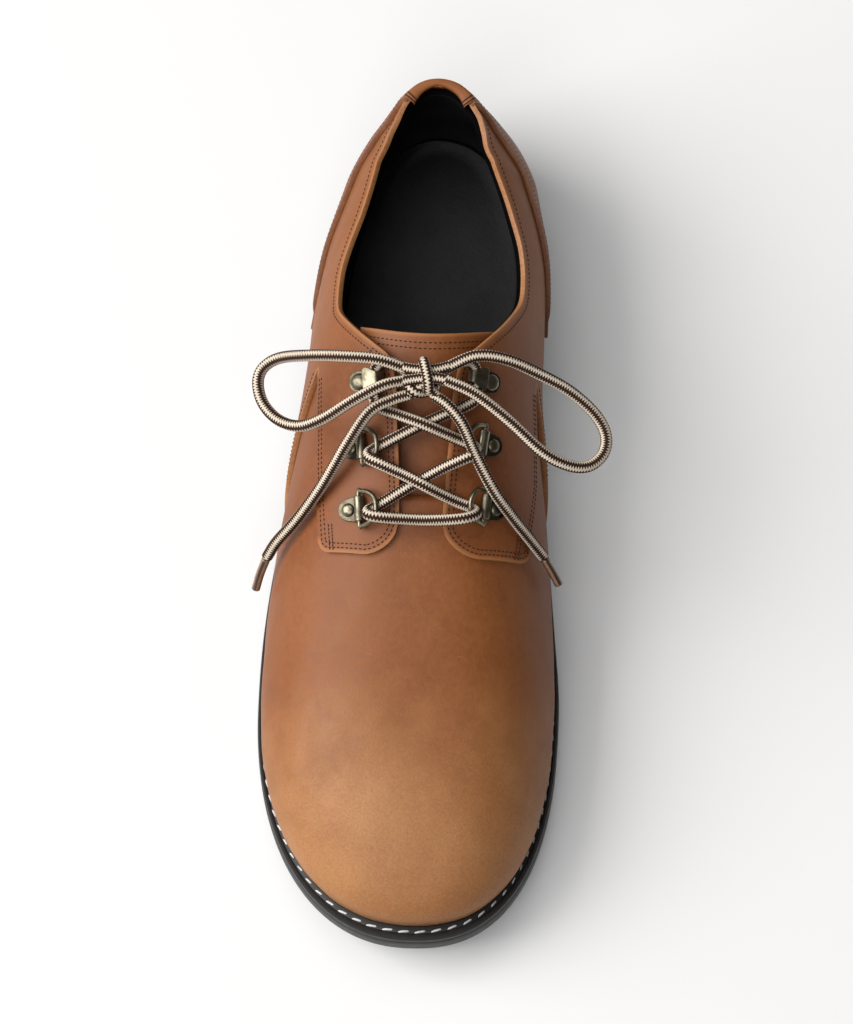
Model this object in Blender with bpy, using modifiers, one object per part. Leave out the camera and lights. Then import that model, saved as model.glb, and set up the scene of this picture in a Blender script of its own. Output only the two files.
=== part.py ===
"""Right plain-toe derby shoe with ring eyelets and lace hooks, built from closed named solids.

Sizes are in millimetres and meshes in metres. +Z is up and the toe points to -Y. A station is the
distance from the back of the heel along the shoe; lateral is -X and medial is +X.
"""
import math
from collections import namedtuple

import bmesh
import bpy
import numpy as np
from mathutils import Matrix, Vector

MM = 0.001
GAP = 0.4                     # clearance between neighbouring layers
SOLE_GAP = 0.75 * GAP         # clearance over and under the outsole
MERGE = 0.02                  # points closer than this are one

LENGTH = 300.0                # outsole from heel to toe
AXIS_SHIFT = 2.95             # puts the middle of the sole's width on the Y axis
HEEL_POLE = 36.0              # station where the round of the heel starts
TOE_POLE = 215.0              # station of the ball, where the round of the toe starts
TOE_TIP = 295.0               # front of the upper
HEEL_BACK = 6.4               # back of the upper, under the quarters and counter
TOE_SQUARENESS = (2.15, 2.45)  # superellipse powers of the toe, lateral and medial
HEEL_SQUARENESS = 1.95
HEEL_SWAY = 0.7               # the back of the heel lies this far to the medial side

HEEL_HEIGHT = 20.0
HEEL_BREAST = 80.0            # station of the front of the heel block
BREAST_BOW = 6.0              # hollow of the breast
HEEL_SIDES = (78.0, 62.0, 48.0)  # stations of the block's corners along its sides
HEEL_TAPER = 1.2
HEEL_EDGE = 0.8
TREAD_START = 188.0           # the sole lies flat on the floor between these two stations
TREAD_END = 228.0
TOE_SPRING = 9.0
SPRING_POWER = 1.8
OUTSOLE = 8.0
OUTSOLE_EDGE = 1.0
WELT = 3.0
WELT_EDGE = 0.8
INSOLE = 3.0

WALL = 2.2                    # upper and lining together
BULGE = 9.0                   # height of the widest line over the feather line
TUCK_TOE = 1.2                # how far the feather line lies under the widest line
TUCK_HEEL = 2.5
BACK_CROWN = 41.0             # extra virtual crown that stands the back of the heel upright

QUARTER = 1.5
COUNTER = 1.3
TONGUE = 1.8
OVERLAY_FOOT = 2.4            # lower edge of the overlays over the welt

COLLAR_BACK = 73.5            # height of the collar at the back of the heel
SLOT_END = 158.0              # front end of the slot in the shell, under the facings
SLOT_OVERHANG = 4.0           # facings reach this far past the shell's own edge
SLOT_EASE = 8.0               # length over which that overhang starts
FACING_START = 110.0          # station of the notch between facing and side
FACING_TOP = 104.0            # the facings start to overhang the shell here
FACING_END = 177.0
FACING_SLANT = 2.5
FACING_CORNER = 11.0
FACING_BUNCH = 1.3            # crowds the facing's columns to the collar, where it bends most
CORNER_SHARE = 0.62           # where the rounded inner corner starts across the facing
OUTER_CORNER = 3.6            # small rounding of the facing's outer corner
OUTER_SHARE = 0.14            # where it ends across the facing
SIDE_END = 149.0              # front end of the lower part of the quarters
SIDE_CURVE = 1.1              # hollow of its sloping front edge
LEAST_STRIP = 0.05            # least height of an overlay, as an angle
QUARTER_SPLIT = 0.55          # share of the quarter's height in its lower rows
BACK_SEAM = 0.004             # gap of the quarters at the back seam, as part of the loop
COUNTER_END = 86.0            # station of the counter's front ends

TONGUE_TOP = 105.0
TONGUE_DIP = 6.5
TONGUE_END = 172.0
TONGUE_SINK = 0.8             # the tongue lies this much lower under the vamp
TONGUE_HALF = (25.5, 15.0)    # half widths at the top and under the vamp

LACE = 4.0
LACE_LIFT = 4.4               # middle of the lace over the shell, clear of the facings
LACE_HUMP = 3.0               # how far one strand rides over the other where they cross
LACE_SPACING = 8.0            # spacing of the points along the bow
AGLET = 3.0
KNOT_LIFT = 10.5
KNOT_SIZE = (6.6, 5.8, 3.6)
KNOT_STATION = 119.5

FITTING_LIFT = 2 * GAP + QUARTER
STRIP = 0.8                   # brass strip of clips and hooks
RIVET = 2.6
RIVET_RISE = 1.9
RING_WIRE = 1.7
RING_HALF = 5.9
RING_REACH = 7.6
RING_SQUARENESS = 2.6
RING_TILT = math.radians(20.0)
CLIP_WIDTH = 8.6
CLIP_TAIL = 7.6               # strip from the fold to its outer end
CLIP_TIP = 4.6                # width of that end
CLIP_SHOULDER = 0.4           # share of that length at full width
FOLD_OUTER = 1.8
FOLD_BORE = 1.2
RIVET_BACK = 4.5              # rivet to fold
HOOK_TAIL = 9.2
HOOK_FRONT = 3.9              # bend of the hook, on the throat side
HOOK_WIDTH = 6.4
HOOK_BEND = 4.2               # width of the bend
HOOK_FLAP = 8.2               # widest part of the flap
HOOK_FLAP_BACK = -2.6
HOOK_FLAP_CORNER = 1.2
HOOK_FLAP_END = 0.7           # width of the flap's back edge, as a share of its widest part
HOOK_HEIGHT = 5.8
HOOK_RIVET_BACK = 6.3

Outline = namedtuple("Outline", "station sole_lateral sole_medial body_lateral body_medial tuck")
OUTLINES = (
    Outline(36.0, 31.6, 35.4, 28.0, 32.4, 3.2),
    Outline(60.0, 37.4, 39.0, 34.8, 37.2, 4.2),
    Outline(84.0, 39.4, 39.2, 38.4, 37.9, 5.0),
    Outline(108.0, 41.2, 38.4, 40.8, 37.9, 5.0),
    Outline(132.0, 45.2, 40.6, 44.8, 40.2, 5.0),
    Outline(156.0, 49.8, 43.4, 49.0, 43.0, 4.4),
    Outline(184.0, 53.6, 46.4, 52.3, 45.6, 3.6),
    Outline(215.0, 54.8, 48.9, 53.4, 47.2, 3.2),
)

Ridge = namedtuple("Ridge", "station height shift roundness")
RIDGES = (
    Ridge(0.0, 76.0, 0.0, 1.0),
    Ridge(36.0, 76.0, 0.0, 1.0),
    Ridge(60.0, 76.0, 0.0, 1.0),
    Ridge(80.0, 80.5, 0.0, 1.0),
    Ridge(100.0, 87.0, 0.0, 1.0),
    Ridge(118.0, 83.0, 0.0, 1.0),
    Ridge(139.0, 75.8, 0.0, 0.97),
    Ridge(160.0, 69.0, 0.0, 0.93),
    Ridge(180.0, 63.4, -0.3, 0.88),
    Ridge(215.0, 56.0, -1.0, 0.8),
    Ridge(250.0, 51.5, -1.0, 0.78),
    Ridge(300.0, 44.0, -1.0, 0.78),
)

Opening = namedtuple("Opening", "station lateral medial")
OPENINGS = (
    Opening(36.0, 18.4, 19.6),
    Opening(54.0, 22.8, 26.6),
    Opening(66.0, 26.7, 29.9),
    Opening(77.0, 29.3, 30.9),
    Opening(86.0, 29.7, 30.0),
    Opening(93.0, 28.9, 27.2),
    Opening(98.0, 26.0, 24.4),
    Opening(103.0, 22.0, 20.8),
    Opening(108.0, 17.0, 16.6),
    Opening(112.5, 12.2, 12.2),
    Opening(120.0, 10.0, 10.0),
    Opening(135.0, 8.8, 8.8),
    Opening(150.0, 7.8, 7.8),
    Opening(180.0, 7.0, 7.0),
)

HeelLean = namedtuple("HeelLean", "station lateral medial")
HEEL_LEANS = (
    HeelLean(6.4, 0.0, 0.0),
    HeelLean(9.0, 0.08, 0.17),
    HeelLean(14.0, 0.17, 0.22),
    HeelLean(22.0, 0.08, 0.16),
    HeelLean(30.0, 0.02, 0.06),
    HeelLean(36.0, 0.0, 0.0),
)

CounterEdge = namedtuple("CounterEdge", "station height")
COUNTER_EDGES = (
    CounterEdge(4.0, 92.0),
    CounterEdge(8.5, 76.5),
    CounterEdge(13.0, 67.5),
    CounterEdge(20.0, 61.5),
    CounterEdge(30.0, 57.0),
    CounterEdge(45.0, 51.0),
    CounterEdge(60.0, 45.0),
    CounterEdge(75.0, 38.5),
    CounterEdge(88.0, 29.0),
)

FacingEdge = namedtuple("FacingEdge", "station lateral medial")
FACING_EDGES = (
    FacingEdge(110.0, 0.87, 0.94),
    FacingEdge(145.0, 0.75, 0.90),
    FacingEdge(177.0, 0.64, 0.78),
)

Fitting = namedtuple("Fitting", "row side station half_gap")
RING_PLACES = (
    Fitting("lower", -1, 162.0, 19.6),
    Fitting("lower", 1, 159.6, 19.8),
    Fitting("middle", -1, 141.5, 19.4),
    Fitting("middle", 1, 139.0, 18.2),
)
HOOK_PLACES = (
    Fitting("top", -1, 120.2, 15.8),
    Fitting("top", 1, 118.8, 15.3),
)

Strand = namedtuple("Strand", "node lateral lateral_station medial medial_station hump")
STRANDS = (
    Strand("lace_bar", 11.0, 166.0, 11.0, 165.2, 0.0),
    Strand("lace_cross_lower", 10.8, 146.7, 11.0, 159.0, LACE_HUMP),
    Strand("lace_cross_lower", 11.0, 160.6, 9.6, 144.7, 0.0),
    Strand("lace_cross_upper", 11.2, 128.0, 9.4, 138.4, LACE_HUMP),
    Strand("lace_cross_upper", 10.8, 140.6, 11.2, 126.2, 0.0),
    Strand("lace_tie", 11.2, 120.4, 10.8, 119.2, 0.0),
)

Bow = namedtuple("Bow", "node diameter route")
BOWS = (
    Bow("lace_loop_lateral", LACE, (
        (-6.5, 121.0, 92.9), (-16.0, 118.6, 94.6), (-28.1, 117.2, 93.0), (-40.1, 115.5, 88.0),
        (-49.6, 114.9, 83.0), (-55.2, 117.2, 79.0), (-56.8, 122.0, 77.0), (-54.8, 128.8, 76.0),
        (-49.4, 134.9, 77.0), (-41.9, 138.0, 80.0), (-33.8, 136.8, 85.0), (-24.1, 132.2, 90.6),
        (-14.1, 127.8, 94.4), (-6.5, 125.6, 93.8))),
    Bow("lace_loop_medial", LACE, (
        (6.9, 120.4, 93.4), (16.8, 116.6, 95.6), (27.0, 116.9, 94.0), (37.7, 119.6, 89.0),
        (48.5, 123.7, 84.0), (57.3, 129.7, 79.0), (61.4, 136.2, 76.0), (60.7, 142.7, 75.0),
        (55.7, 147.7, 76.0), (48.5, 148.5, 79.0), (39.8, 145.3, 83.0), (28.5, 136.7, 88.6),
        (16.8, 129.2, 93.4), (6.9, 125.2, 95.0))),
    Bow("lace_end_lateral", LACE, (
        (-5.0, 129.2, 90.6), (-11.0, 131.0, 89.6), (-18.1, 134.3, 87.0), (-25.1, 142.3, 78.8),
        (-30.1, 149.0, 71.5), (-34.8, 154.6, 64.0), (-42.1, 161.6, 53.4), (-49.4, 167.0, 43.6),
        (-52.8, 170.6, 37.6))),
    Bow("lace_end_medial", LACE, (
        (3.4, 129.4, 90.8), (8.0, 132.6, 89.8), (12.9, 137.8, 87.1), (17.9, 146.7, 79.8),
        (24.2, 156.2, 72.8), (30.3, 162.2, 64.9), (36.5, 166.7, 55.0), (41.6, 170.6, 47.2))),
    Bow("aglet_lateral", AGLET, ((-53.0, 171.0, 37.1), (-55.2, 175.0, 31.6), (-56.8, 179.0, 26.0))),
    Bow("aglet_medial", AGLET, ((41.9, 170.9, 46.7), (44.6, 173.8, 42.4), (47.6, 177.6, 37.4))),
)

SIDE_STATIONS = (36.0, 48.0, 60.0, 72.0, 84.0, 93.0, 98.0, 103.0, 110.0, 122.0, 136.0, 146.0,
                 153.0, 158.0, 167.0, 178.0, 190.0, 202.0, 215.0)
TOE_STEPS = 16
HEEL_STEPS = 16

LATERAL, MEDIAL = -1, 1
SIDE_NAMES = {LATERAL: "lateral", MEDIAL: "medial"}


def smooth(rows, column, station):
    """Smooth curve through one column of a table, level at its last row."""
    xs = np.array([row.station for row in rows])
    ys = np.array([getattr(row, column) for row in rows])
    slopes = np.gradient(ys, xs)
    slopes[-1] = 0.0
    at = min(max(station, xs[0]), xs[-1])
    i = min(int(np.searchsorted(xs, at, side="right")) - 1, len(xs) - 2)
    width = xs[i + 1] - xs[i]
    u = (at - xs[i]) / width
    start = ys[i] * (1 + 2 * u) * (1 - u) ** 2 + slopes[i] * width * u * (1 - u) ** 2
    end = ys[i + 1] * u * u * (3 - 2 * u) + slopes[i + 1] * width * u * u * (u - 1)
    return float(start + end)


def straight(rows, column, station):
    """Straight steps through one column of a table."""
    return float(np.interp(station, [row.station for row in rows],
                           [getattr(row, column) for row in rows]))


def tread_height(station):
    """Underside of the outsole: heel seat, arch, flat forefoot and toe spring."""
    drop = min(max((station - HEEL_BREAST) / (TREAD_START - HEEL_BREAST), 0.0), 1.0)
    rise = max((station - TREAD_END) / (LENGTH - TREAD_END), 0.0)
    return HEEL_HEIGHT * (1 - drop * drop * (3 - 2 * drop)) + TOE_SPRING * rise ** SPRING_POWER


def feather_height(station):
    """Foot of the upper, just over the outsole."""
    return tread_height(station) + OUTSOLE + SOLE_GAP


def world(x, station, z):
    return Vector((x + AXIS_SHIFT, LENGTH / 2 - station, z))


def side_turn(side, station):
    """Place of a station on the loop round the shoe: lateral 0..1, toe 1..2, medial 2..3, heel 3..4."""
    share = (station - HEEL_POLE) / (TOE_POLE - HEEL_POLE)
    return share if side == LATERAL else 3.0 - share


def fan_point(phi, half_lateral, half_medial, length, pole, powers, forward):
    """Point of a superellipse round end; phi runs over half a turn."""
    across = math.cos(phi)
    power = powers[0] if (across > 0) == (forward > 0) else powers[1]
    half = half_lateral if (across > 0) == (forward > 0) else half_medial
    x = -forward * math.copysign(half * abs(across) ** (2 / power), across)
    return x, pole + forward * length * abs(math.sin(phi)) ** (2 / power)


def heel_taper(column):
    """How fast an outline draws in at the start of the heel's round."""
    rear, ahead = OUTLINES[0], OUTLINES[1]
    return (getattr(ahead, column) - getattr(rear, column)) / (ahead.station - rear.station)


def rim(turn, column, toe, back):
    """Point of the sole or body outline on the loop, with how far round the toe or heel it lies."""
    turn %= 4.0
    lateral, medial = column + "_lateral", column + "_medial"
    if turn < 1.0 or 2.0 <= turn < 3.0:
        side = LATERAL if turn < 1.0 else MEDIAL
        share = turn if turn < 1.0 else 3.0 - turn
        station = HEEL_POLE + share * (TOE_POLE - HEEL_POLE)
        half = smooth(OUTLINES, lateral if side == LATERAL else medial, station)
        return side * half, station, station, 0.0, 0.0
    if turn < 2.0:
        phi = (turn - 1.0) * math.pi
        ends = OUTLINES[-1]
        x, station = fan_point(phi, getattr(ends, lateral), getattr(ends, medial),
                               toe - TOE_POLE, TOE_POLE, TOE_SQUARENESS, 1)
        return x, station, TOE_POLE, math.sin(phi), 0.0
    phi = (turn - 3.0) * math.pi
    ends = OUTLINES[0]
    x, station = fan_point(phi, getattr(ends, lateral), getattr(ends, medial), HEEL_POLE - back,
                           HEEL_POLE, (HEEL_SQUARENESS, HEEL_SQUARENESS), -1)
    taper = heel_taper(medial) if turn < 3.5 else -heel_taper(lateral)
    x += HEEL_SWAY * math.sin(phi) - taper * (HEEL_POLE - station) * (1 - math.sin(phi))
    return x, station, HEEL_POLE, 0.0, math.sin(phi)


Meridian = namedtuple("Meridian", "foot spine reach roundness tuck bulge back lean")


def meridian(turn):
    """One upright line of the upper, from the feather line to the ridge."""
    x, station, pole, toeward, heelward = rim(turn, "body", TOE_TIP, HEEL_BACK)
    spine = (smooth(RIDGES, "shift", pole), pole)
    tuck = smooth(OUTLINES, "tuck", pole)
    tuck += (TUCK_TOE - tuck) * toeward ** 2 + (TUCK_HEEL - tuck) * heelward ** 2
    lean = smooth(HEEL_LEANS, "medial" if turn % 4.0 < 3.5 else "lateral", station) if heelward else 0.0
    return Meridian((x, station), spine, math.hypot(x - spine[0], station - spine[1]),
                    smooth(RIDGES, "roundness", pole), tuck, feather_height(station) + BULGE,
                    heelward ** 3, lean)


def floor_angle(turn):
    line = meridian(turn)
    return -math.acos((1 - line.tuck / line.reach) ** (1 / line.roundness))


def gap_angle(turn, half_gap):
    """Angle at which the upper comes within half_gap of its spine, in plan."""
    line = meridian(turn)
    return math.acos(min(half_gap / line.reach, 1.0) ** (1 / line.roundness))


def height_angle(turn, z):
    """Angle at which the upper stands at height z."""
    line = meridian(turn)
    if z < line.bulge:
        share = max((z - line.bulge) / BULGE, -1.0)
        return -math.asin(-share * math.sin(-floor_angle(turn)))
    crown = smooth(RIDGES, "height", line.spine[1]) + BACK_CROWN * line.back
    return math.asin(min((z - line.bulge) / (crown - line.bulge), 1.0))


def skin_point(turn, angle):
    """Point of the upper's outer surface."""
    line = meridian(turn)
    spread = max(math.cos(angle), 0.0) ** line.roundness
    spread *= 1 - line.lean * max(math.sin(angle), 0.0)
    x = line.spine[0] + (line.foot[0] - line.spine[0]) * spread
    station = line.spine[1] + (line.foot[1] - line.spine[1]) * spread
    if angle < 0:
        z = line.bulge + BULGE * math.sin(angle) / math.sin(-floor_angle(turn))
    else:
        crown = smooth(RIDGES, "height", station) + BACK_CROWN * line.back
        z = line.bulge + (crown - line.bulge) * math.sin(angle)
    return world(x, station, z)


def skin_normal(turn, angle):
    step = 1e-3
    flat = min(angle, math.pi / 2 - 2 * step)
    low = min(angle, 1.45)
    along = skin_point(turn + step, low) - skin_point(turn - step, low)
    rise = skin_point(turn, flat + step) - skin_point(turn, flat - step)
    return along.cross(rise).normalized()


def skin(turn, angle, lift=0.0):
    """Point lifted off the upper along its own normal."""
    point = skin_point(turn, angle)
    return point + skin_normal(turn, angle) * lift if lift else point


def over(across, station, lift):
    """Point over the instep, across from the ridge: minus is lateral."""
    turn = side_turn(LATERAL if across < 0 else MEDIAL, station)
    return skin(turn, gap_angle(turn, abs(across)), lift)


def side_station(turn):
    return HEEL_POLE + (turn if turn < 1.0 else 3.0 - turn) * (TOE_POLE - HEEL_POLE)


def opening_angle(turn, overhang=0.0):
    """Angle of the collar and throat edge: by half width along the sides, by height round the heel."""
    turn %= 4.0
    if turn < 3.0:
        edge = "lateral" if turn < 1.0 else "medial"
        return gap_angle(turn, smooth(OPENINGS, edge, side_station(turn)) + overhang)
    side = side_turn(MEDIAL if turn < 3.5 else LATERAL, HEEL_POLE)
    low = skin_point(side, opening_angle(side - 1e-9 if side > 1.0 else side)).z
    return height_angle(turn, low + (COLLAR_BACK - low) * math.sin((turn - 3.0) * math.pi) ** 2)


def heel_turns():
    return [3.0 + i / HEEL_STEPS for i in range(HEEL_STEPS + 1)]


def loop_turns():
    """Columns of the whole loop, the last one meeting the first."""
    lateral = [side_turn(LATERAL, s) for s in SIDE_STATIONS]
    toe = [1.0 + i / TOE_STEPS for i in range(1, TOE_STEPS)]
    medial = [side_turn(MEDIAL, s) for s in reversed(SIDE_STATIONS)]
    return lateral + toe + medial + heel_turns()[1:-1]


def clear_scene():
    for item in list(bpy.data.objects):
        bpy.data.objects.remove(item, do_unlink=True)


def collection(name, hidden=False):
    group = bpy.data.collections.get(name) or bpy.data.collections.new(name)
    if group.name not in bpy.context.scene.collection.children:
        bpy.context.scene.collection.children.link(group)
    group.hide_render = hidden
    return group


Finish = namedtuple("Finish", "colour roughness metallic")
FINISHES = {
    "tan_leather": Finish((0.33, 0.12, 0.03, 1.0), 0.45, 0.0),
    "black_leather": Finish((0.02, 0.02, 0.02, 1.0), 0.6, 0.0),
    "black_rubber": Finish((0.025, 0.025, 0.027, 1.0), 0.65, 0.0),
    "brass": Finish((0.45, 0.31, 0.13, 1.0), 0.35, 1.0),
    "lace": Finish((0.2, 0.09, 0.04, 1.0), 0.9, 0.0),
}


def material(name):
    made = bpy.data.materials.get(name)
    if made is None:
        finish = FINISHES[name]
        made = bpy.data.materials.new(name)
        made.use_nodes = True
        shader = made.node_tree.nodes["Principled BSDF"]
        shader.inputs["Base Color"].default_value = finish.colour
        shader.inputs["Roughness"].default_value = finish.roughness
        shader.inputs["Metallic"].default_value = finish.metallic
    return made


def add(name, data, finish, group):
    item = bpy.data.objects.new(name, data)
    group.objects.link(item)
    if finish:
        data.materials.append(material(finish))
    return item


def mesh_of(name, points, faces, merge=0.0):
    mesh = bpy.data.meshes.new(name)
    mesh.from_pydata([p * MM for p in points], [], faces)
    work = bmesh.new()
    work.from_mesh(mesh)
    if merge:
        bmesh.ops.remove_doubles(work, verts=work.verts, dist=merge * MM)
    work.to_mesh(mesh)
    work.free()
    return mesh


def grid(columns, closed=False):
    """Points and quads of a grid given as columns of points."""
    rows = len(columns[0])
    points = [p for column in columns for p in column]
    faces = []
    for i in range(len(columns) if closed else len(columns) - 1):
        k = (i + 1) % len(columns)
        for j in range(rows - 1):
            faces.append((i * rows + j, k * rows + j, k * rows + j + 1, i * rows + j + 1))
    return points, faces


def thicken(item, thickness, outward):
    layer = item.modifiers.new("thickness", "SOLIDIFY")
    layer.thickness = thickness * MM
    layer.offset = 1.0 if outward else -1.0
    layer.use_even_offset = False
    layer.use_rim = True


def blend(low, high, count):
    return [low + (high - low) * i / (count - 1) for i in range(count)]


def upper_shell(group):
    rows = 11
    columns = []
    for turn in loop_turns():
        station = side_station(turn) if turn < 3.0 else 0.0
        top = math.pi / 2
        if not 1.0 <= turn < 2.0 and station < SLOT_END - 0.1:
            ease = min(max((station - FACING_TOP) / SLOT_EASE, 0.0), 1.0)
            top = opening_angle(turn, SLOT_OVERHANG * ease)
        columns.append([skin(turn, a) for a in blend(floor_angle(turn), top, rows)])
    points, faces = grid(columns, closed=True)
    item = add("upper", mesh_of("upper", points, faces, merge=MERGE), "tan_leather", group)
    thicken(item, WALL, outward=False)
    return item


def overlay_foot(turn):
    """Lower edge of the quarters and counter, clear of the welt."""
    return height_angle(turn, meridian(turn).bulge - BULGE + WELT + OVERLAY_FOOT)


def facing_end(share):
    """Station of the facing's front edge, across from its outer edge (0) to the throat (1)."""
    rounding = max(share - CORNER_SHARE, 0.0) / (1 - CORNER_SHARE)
    edge = FACING_END - FACING_SLANT * max(1 - share / CORNER_SHARE, 0.0)
    outer = max(OUTER_SHARE - share, 0.0) / OUTER_SHARE
    edge -= OUTER_CORNER * (1 - math.sqrt(1 - outer * outer))
    return edge - FACING_CORNER * (1 - math.sqrt(max(1 - rounding * rounding, 0.0)))


def quarter(side, group):
    """Quarter and facing of one side: heel and collar part, facing, and the strip below the notch."""
    low_rows, high_rows = 4, 7
    edge = SIDE_NAMES[side]
    lift = GAP
    half = HEEL_STEPS // 2
    back_turns = [3.5 + i * (1 if side == LATERAL else -1) * 0.5 / half for i in range(half)]
    back_turns[0] += BACK_SEAM if side == LATERAL else -BACK_SEAM
    turns = back_turns + [side_turn(side, s) for s in SIDE_STATIONS if s <= FACING_START]

    def notch_angle(station):
        turn = side_turn(side, station)
        return gap_angle(turn, straight(FACING_EDGES, edge, station) * meridian(turn).reach)

    notch = notch_angle(FACING_START)
    rear_low, rear_high = [], []
    for turn in turns:
        bottom, top = overlay_foot(turn), opening_angle(turn)
        middle = min(notch, bottom + QUARTER_SPLIT * (top - bottom))
        rear_low.append([skin(turn, a, lift) for a in blend(bottom, middle, low_rows)])
        rear_high.append([skin(turn, a, lift) for a in blend(middle, top, high_rows)])

    front_low = []
    for station in blend(FACING_START, SIDE_END, 6):
        turn = side_turn(side, station)
        bottom = overlay_foot(turn)
        share = (station - FACING_START) / (SIDE_END - FACING_START)
        top = notch * (1 - share) ** SIDE_CURVE + (bottom + LEAST_STRIP) * share
        front_low.append([skin(turn, a, lift) for a in blend(bottom, top, low_rows)])

    front_high = []
    for along in [step ** FACING_BUNCH for step in blend(0.0, 1.0, 11)]:
        column = []
        for share in blend(0.0, 1.0, high_rows):
            station = FACING_START + along * (facing_end(share) - FACING_START)
            turn = side_turn(side, station)
            outer, inner = notch_angle(station), opening_angle(turn)
            column.append(skin(turn, outer + (inner - outer) * share, lift))
        front_high.append(column)

    points, faces = [], []
    for block in (rear_low, rear_high, front_low, front_high):
        some, quads = grid(block)
        if side == MEDIAL:
            quads = [quad[::-1] for quad in quads]
        faces += [tuple(v + len(points) for v in quad) for quad in quads]
        points += some
    name = "quarter_" + edge
    item = add(name, mesh_of(name, points, faces, merge=MERGE), "tan_leather", group)
    thicken(item, QUARTER, outward=True)
    return item


def heel_counter(group):
    rows = 8
    lift = 2 * GAP + QUARTER
    stations = [s for s in SIDE_STATIONS if s < COUNTER_END]
    turns = [side_turn(MEDIAL, s) for s in reversed(stations)]
    turns += heel_turns()[1:-1] + [4.0 + side_turn(LATERAL, s) for s in stations]
    columns = []
    for turn in turns:
        station = meridian(turn).foot[1]
        bottom = overlay_foot(turn)
        edge = height_angle(turn, straight(COUNTER_EDGES, "height", station))
        top = min(edge, opening_angle(turn))
        columns.append([skin(turn, a, lift) for a in blend(bottom, max(top, bottom + LEAST_STRIP), rows)])
    points, faces = grid(columns)
    item = add("heel_counter", mesh_of("heel_counter", points, faces), "tan_leather", group)
    thicken(item, COUNTER, outward=True)
    return item


def tongue(group):
    rows = 9
    columns = []
    for along in blend(0.0, 1.0, 10):
        column = []
        for across in blend(-1.0, 1.0, rows):
            top = TONGUE_TOP - TONGUE_DIP * across * across
            station = top + along * (TONGUE_END - top)
            half = TONGUE_HALF[0] + along * (TONGUE_HALF[1] - TONGUE_HALF[0])
            lift = -(WALL + 2 * GAP) - TONGUE_SINK * along
            column.append(over(across * half, station, lift))
        columns.append(column)
    points, faces = grid(columns)
    item = add("tongue", mesh_of("tongue", points, faces), "tan_leather", group)
    thicken(item, TONGUE, outward=False)
    return item


def sole_rim(turn, inset=0.0):
    x, station, pole, _, _ = rim(turn, "sole", LENGTH, 0.0)
    ahead, behind = rim(turn + 1e-3, "sole", LENGTH, 0.0), rim(turn - 1e-3, "sole", LENGTH, 0.0)
    step = Vector((ahead[0] - behind[0], ahead[1] - behind[1])).normalized()
    return x + inset * step.y, station - inset * step.x, pole


Level = namedtuple("Level", "height inset share")


def slab(name, edge, levels, finish, group):
    """Plate that follows the tread line; a level's share is its part of the way out to the edge."""
    columns = []
    for turn in loop_turns():
        column = []
        for level in levels:
            x, station, pole = edge(turn, level.inset)
            middle = smooth(RIDGES, "shift", pole)
            at = pole + (station - pole) * level.share
            across = middle + (x - middle) * level.share
            column.append(world(across, at, tread_height(at) + level.height))
        columns.append(column)
    points, faces = grid(columns, closed=True)
    return add(name, mesh_of(name, points, faces, merge=MERGE), finish, group)


def outsole(group):
    top = OUTSOLE
    levels = (Level(0.0, 0.0, 0.0), Level(0.0, 0.0, 0.4), Level(0.0, 0.0, 0.75),
              Level(0.0, OUTSOLE_EDGE, 1.0), Level(OUTSOLE_EDGE, 0.0, 1.0), Level(top, 0.0, 1.0),
              Level(top, 0.0, 0.75), Level(top, 0.0, 0.4), Level(top, 0.0, 0.0))
    return slab("outsole", sole_rim, levels, "black_rubber", group)


def insole_rim(turn, inset):
    x, station, pole, _, _ = rim(turn, "body", TOE_TIP, HEEL_BACK)
    line = meridian(turn)
    share = 1 - (line.tuck + inset) / line.reach
    middle = line.spine[0]
    return middle + (x - middle) * share, pole + (station - pole) * share, pole


def insole(group):
    base = OUTSOLE + 2 * SOLE_GAP
    top = base + INSOLE
    inset = WALL + 2 * GAP
    levels = (Level(base, 0.0, 0.0), Level(base, 0.0, 0.5), Level(base, inset, 1.0),
              Level(top, inset, 1.0), Level(top, 0.0, 0.5), Level(top, 0.0, 0.0))
    return slab("insole", insole_rim, levels, "black_leather", group)


def welt(group):
    """Strip between the upper's foot and the sole's edge, on top of the outsole."""
    base = OUTSOLE + SOLE_GAP
    columns = []
    for turn in loop_turns():
        foot = meridian(turn).bulge - BULGE
        near = skin(turn, height_angle(turn, foot + WELT + GAP), GAP + 0.2)
        inner_station = LENGTH / 2 - near.y
        x, station, _ = sole_rim(turn)
        edge_x, edge_station, _ = sole_rim(turn, WELT_EDGE)
        low, high = tread_height(inner_station) + base, tread_height(station) + base
        columns.append([
            Vector((near.x, near.y, low)), world(x, station, high),
            world(x, station, high + WELT - WELT_EDGE),
            world(edge_x, edge_station, tread_height(edge_station) + base + WELT),
            Vector((near.x, near.y, low + WELT)), Vector((near.x, near.y, low))])
    points, faces = grid(columns, closed=True)
    return add("welt", mesh_of("welt", points, faces, merge=MERGE), "black_rubber", group)


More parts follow.
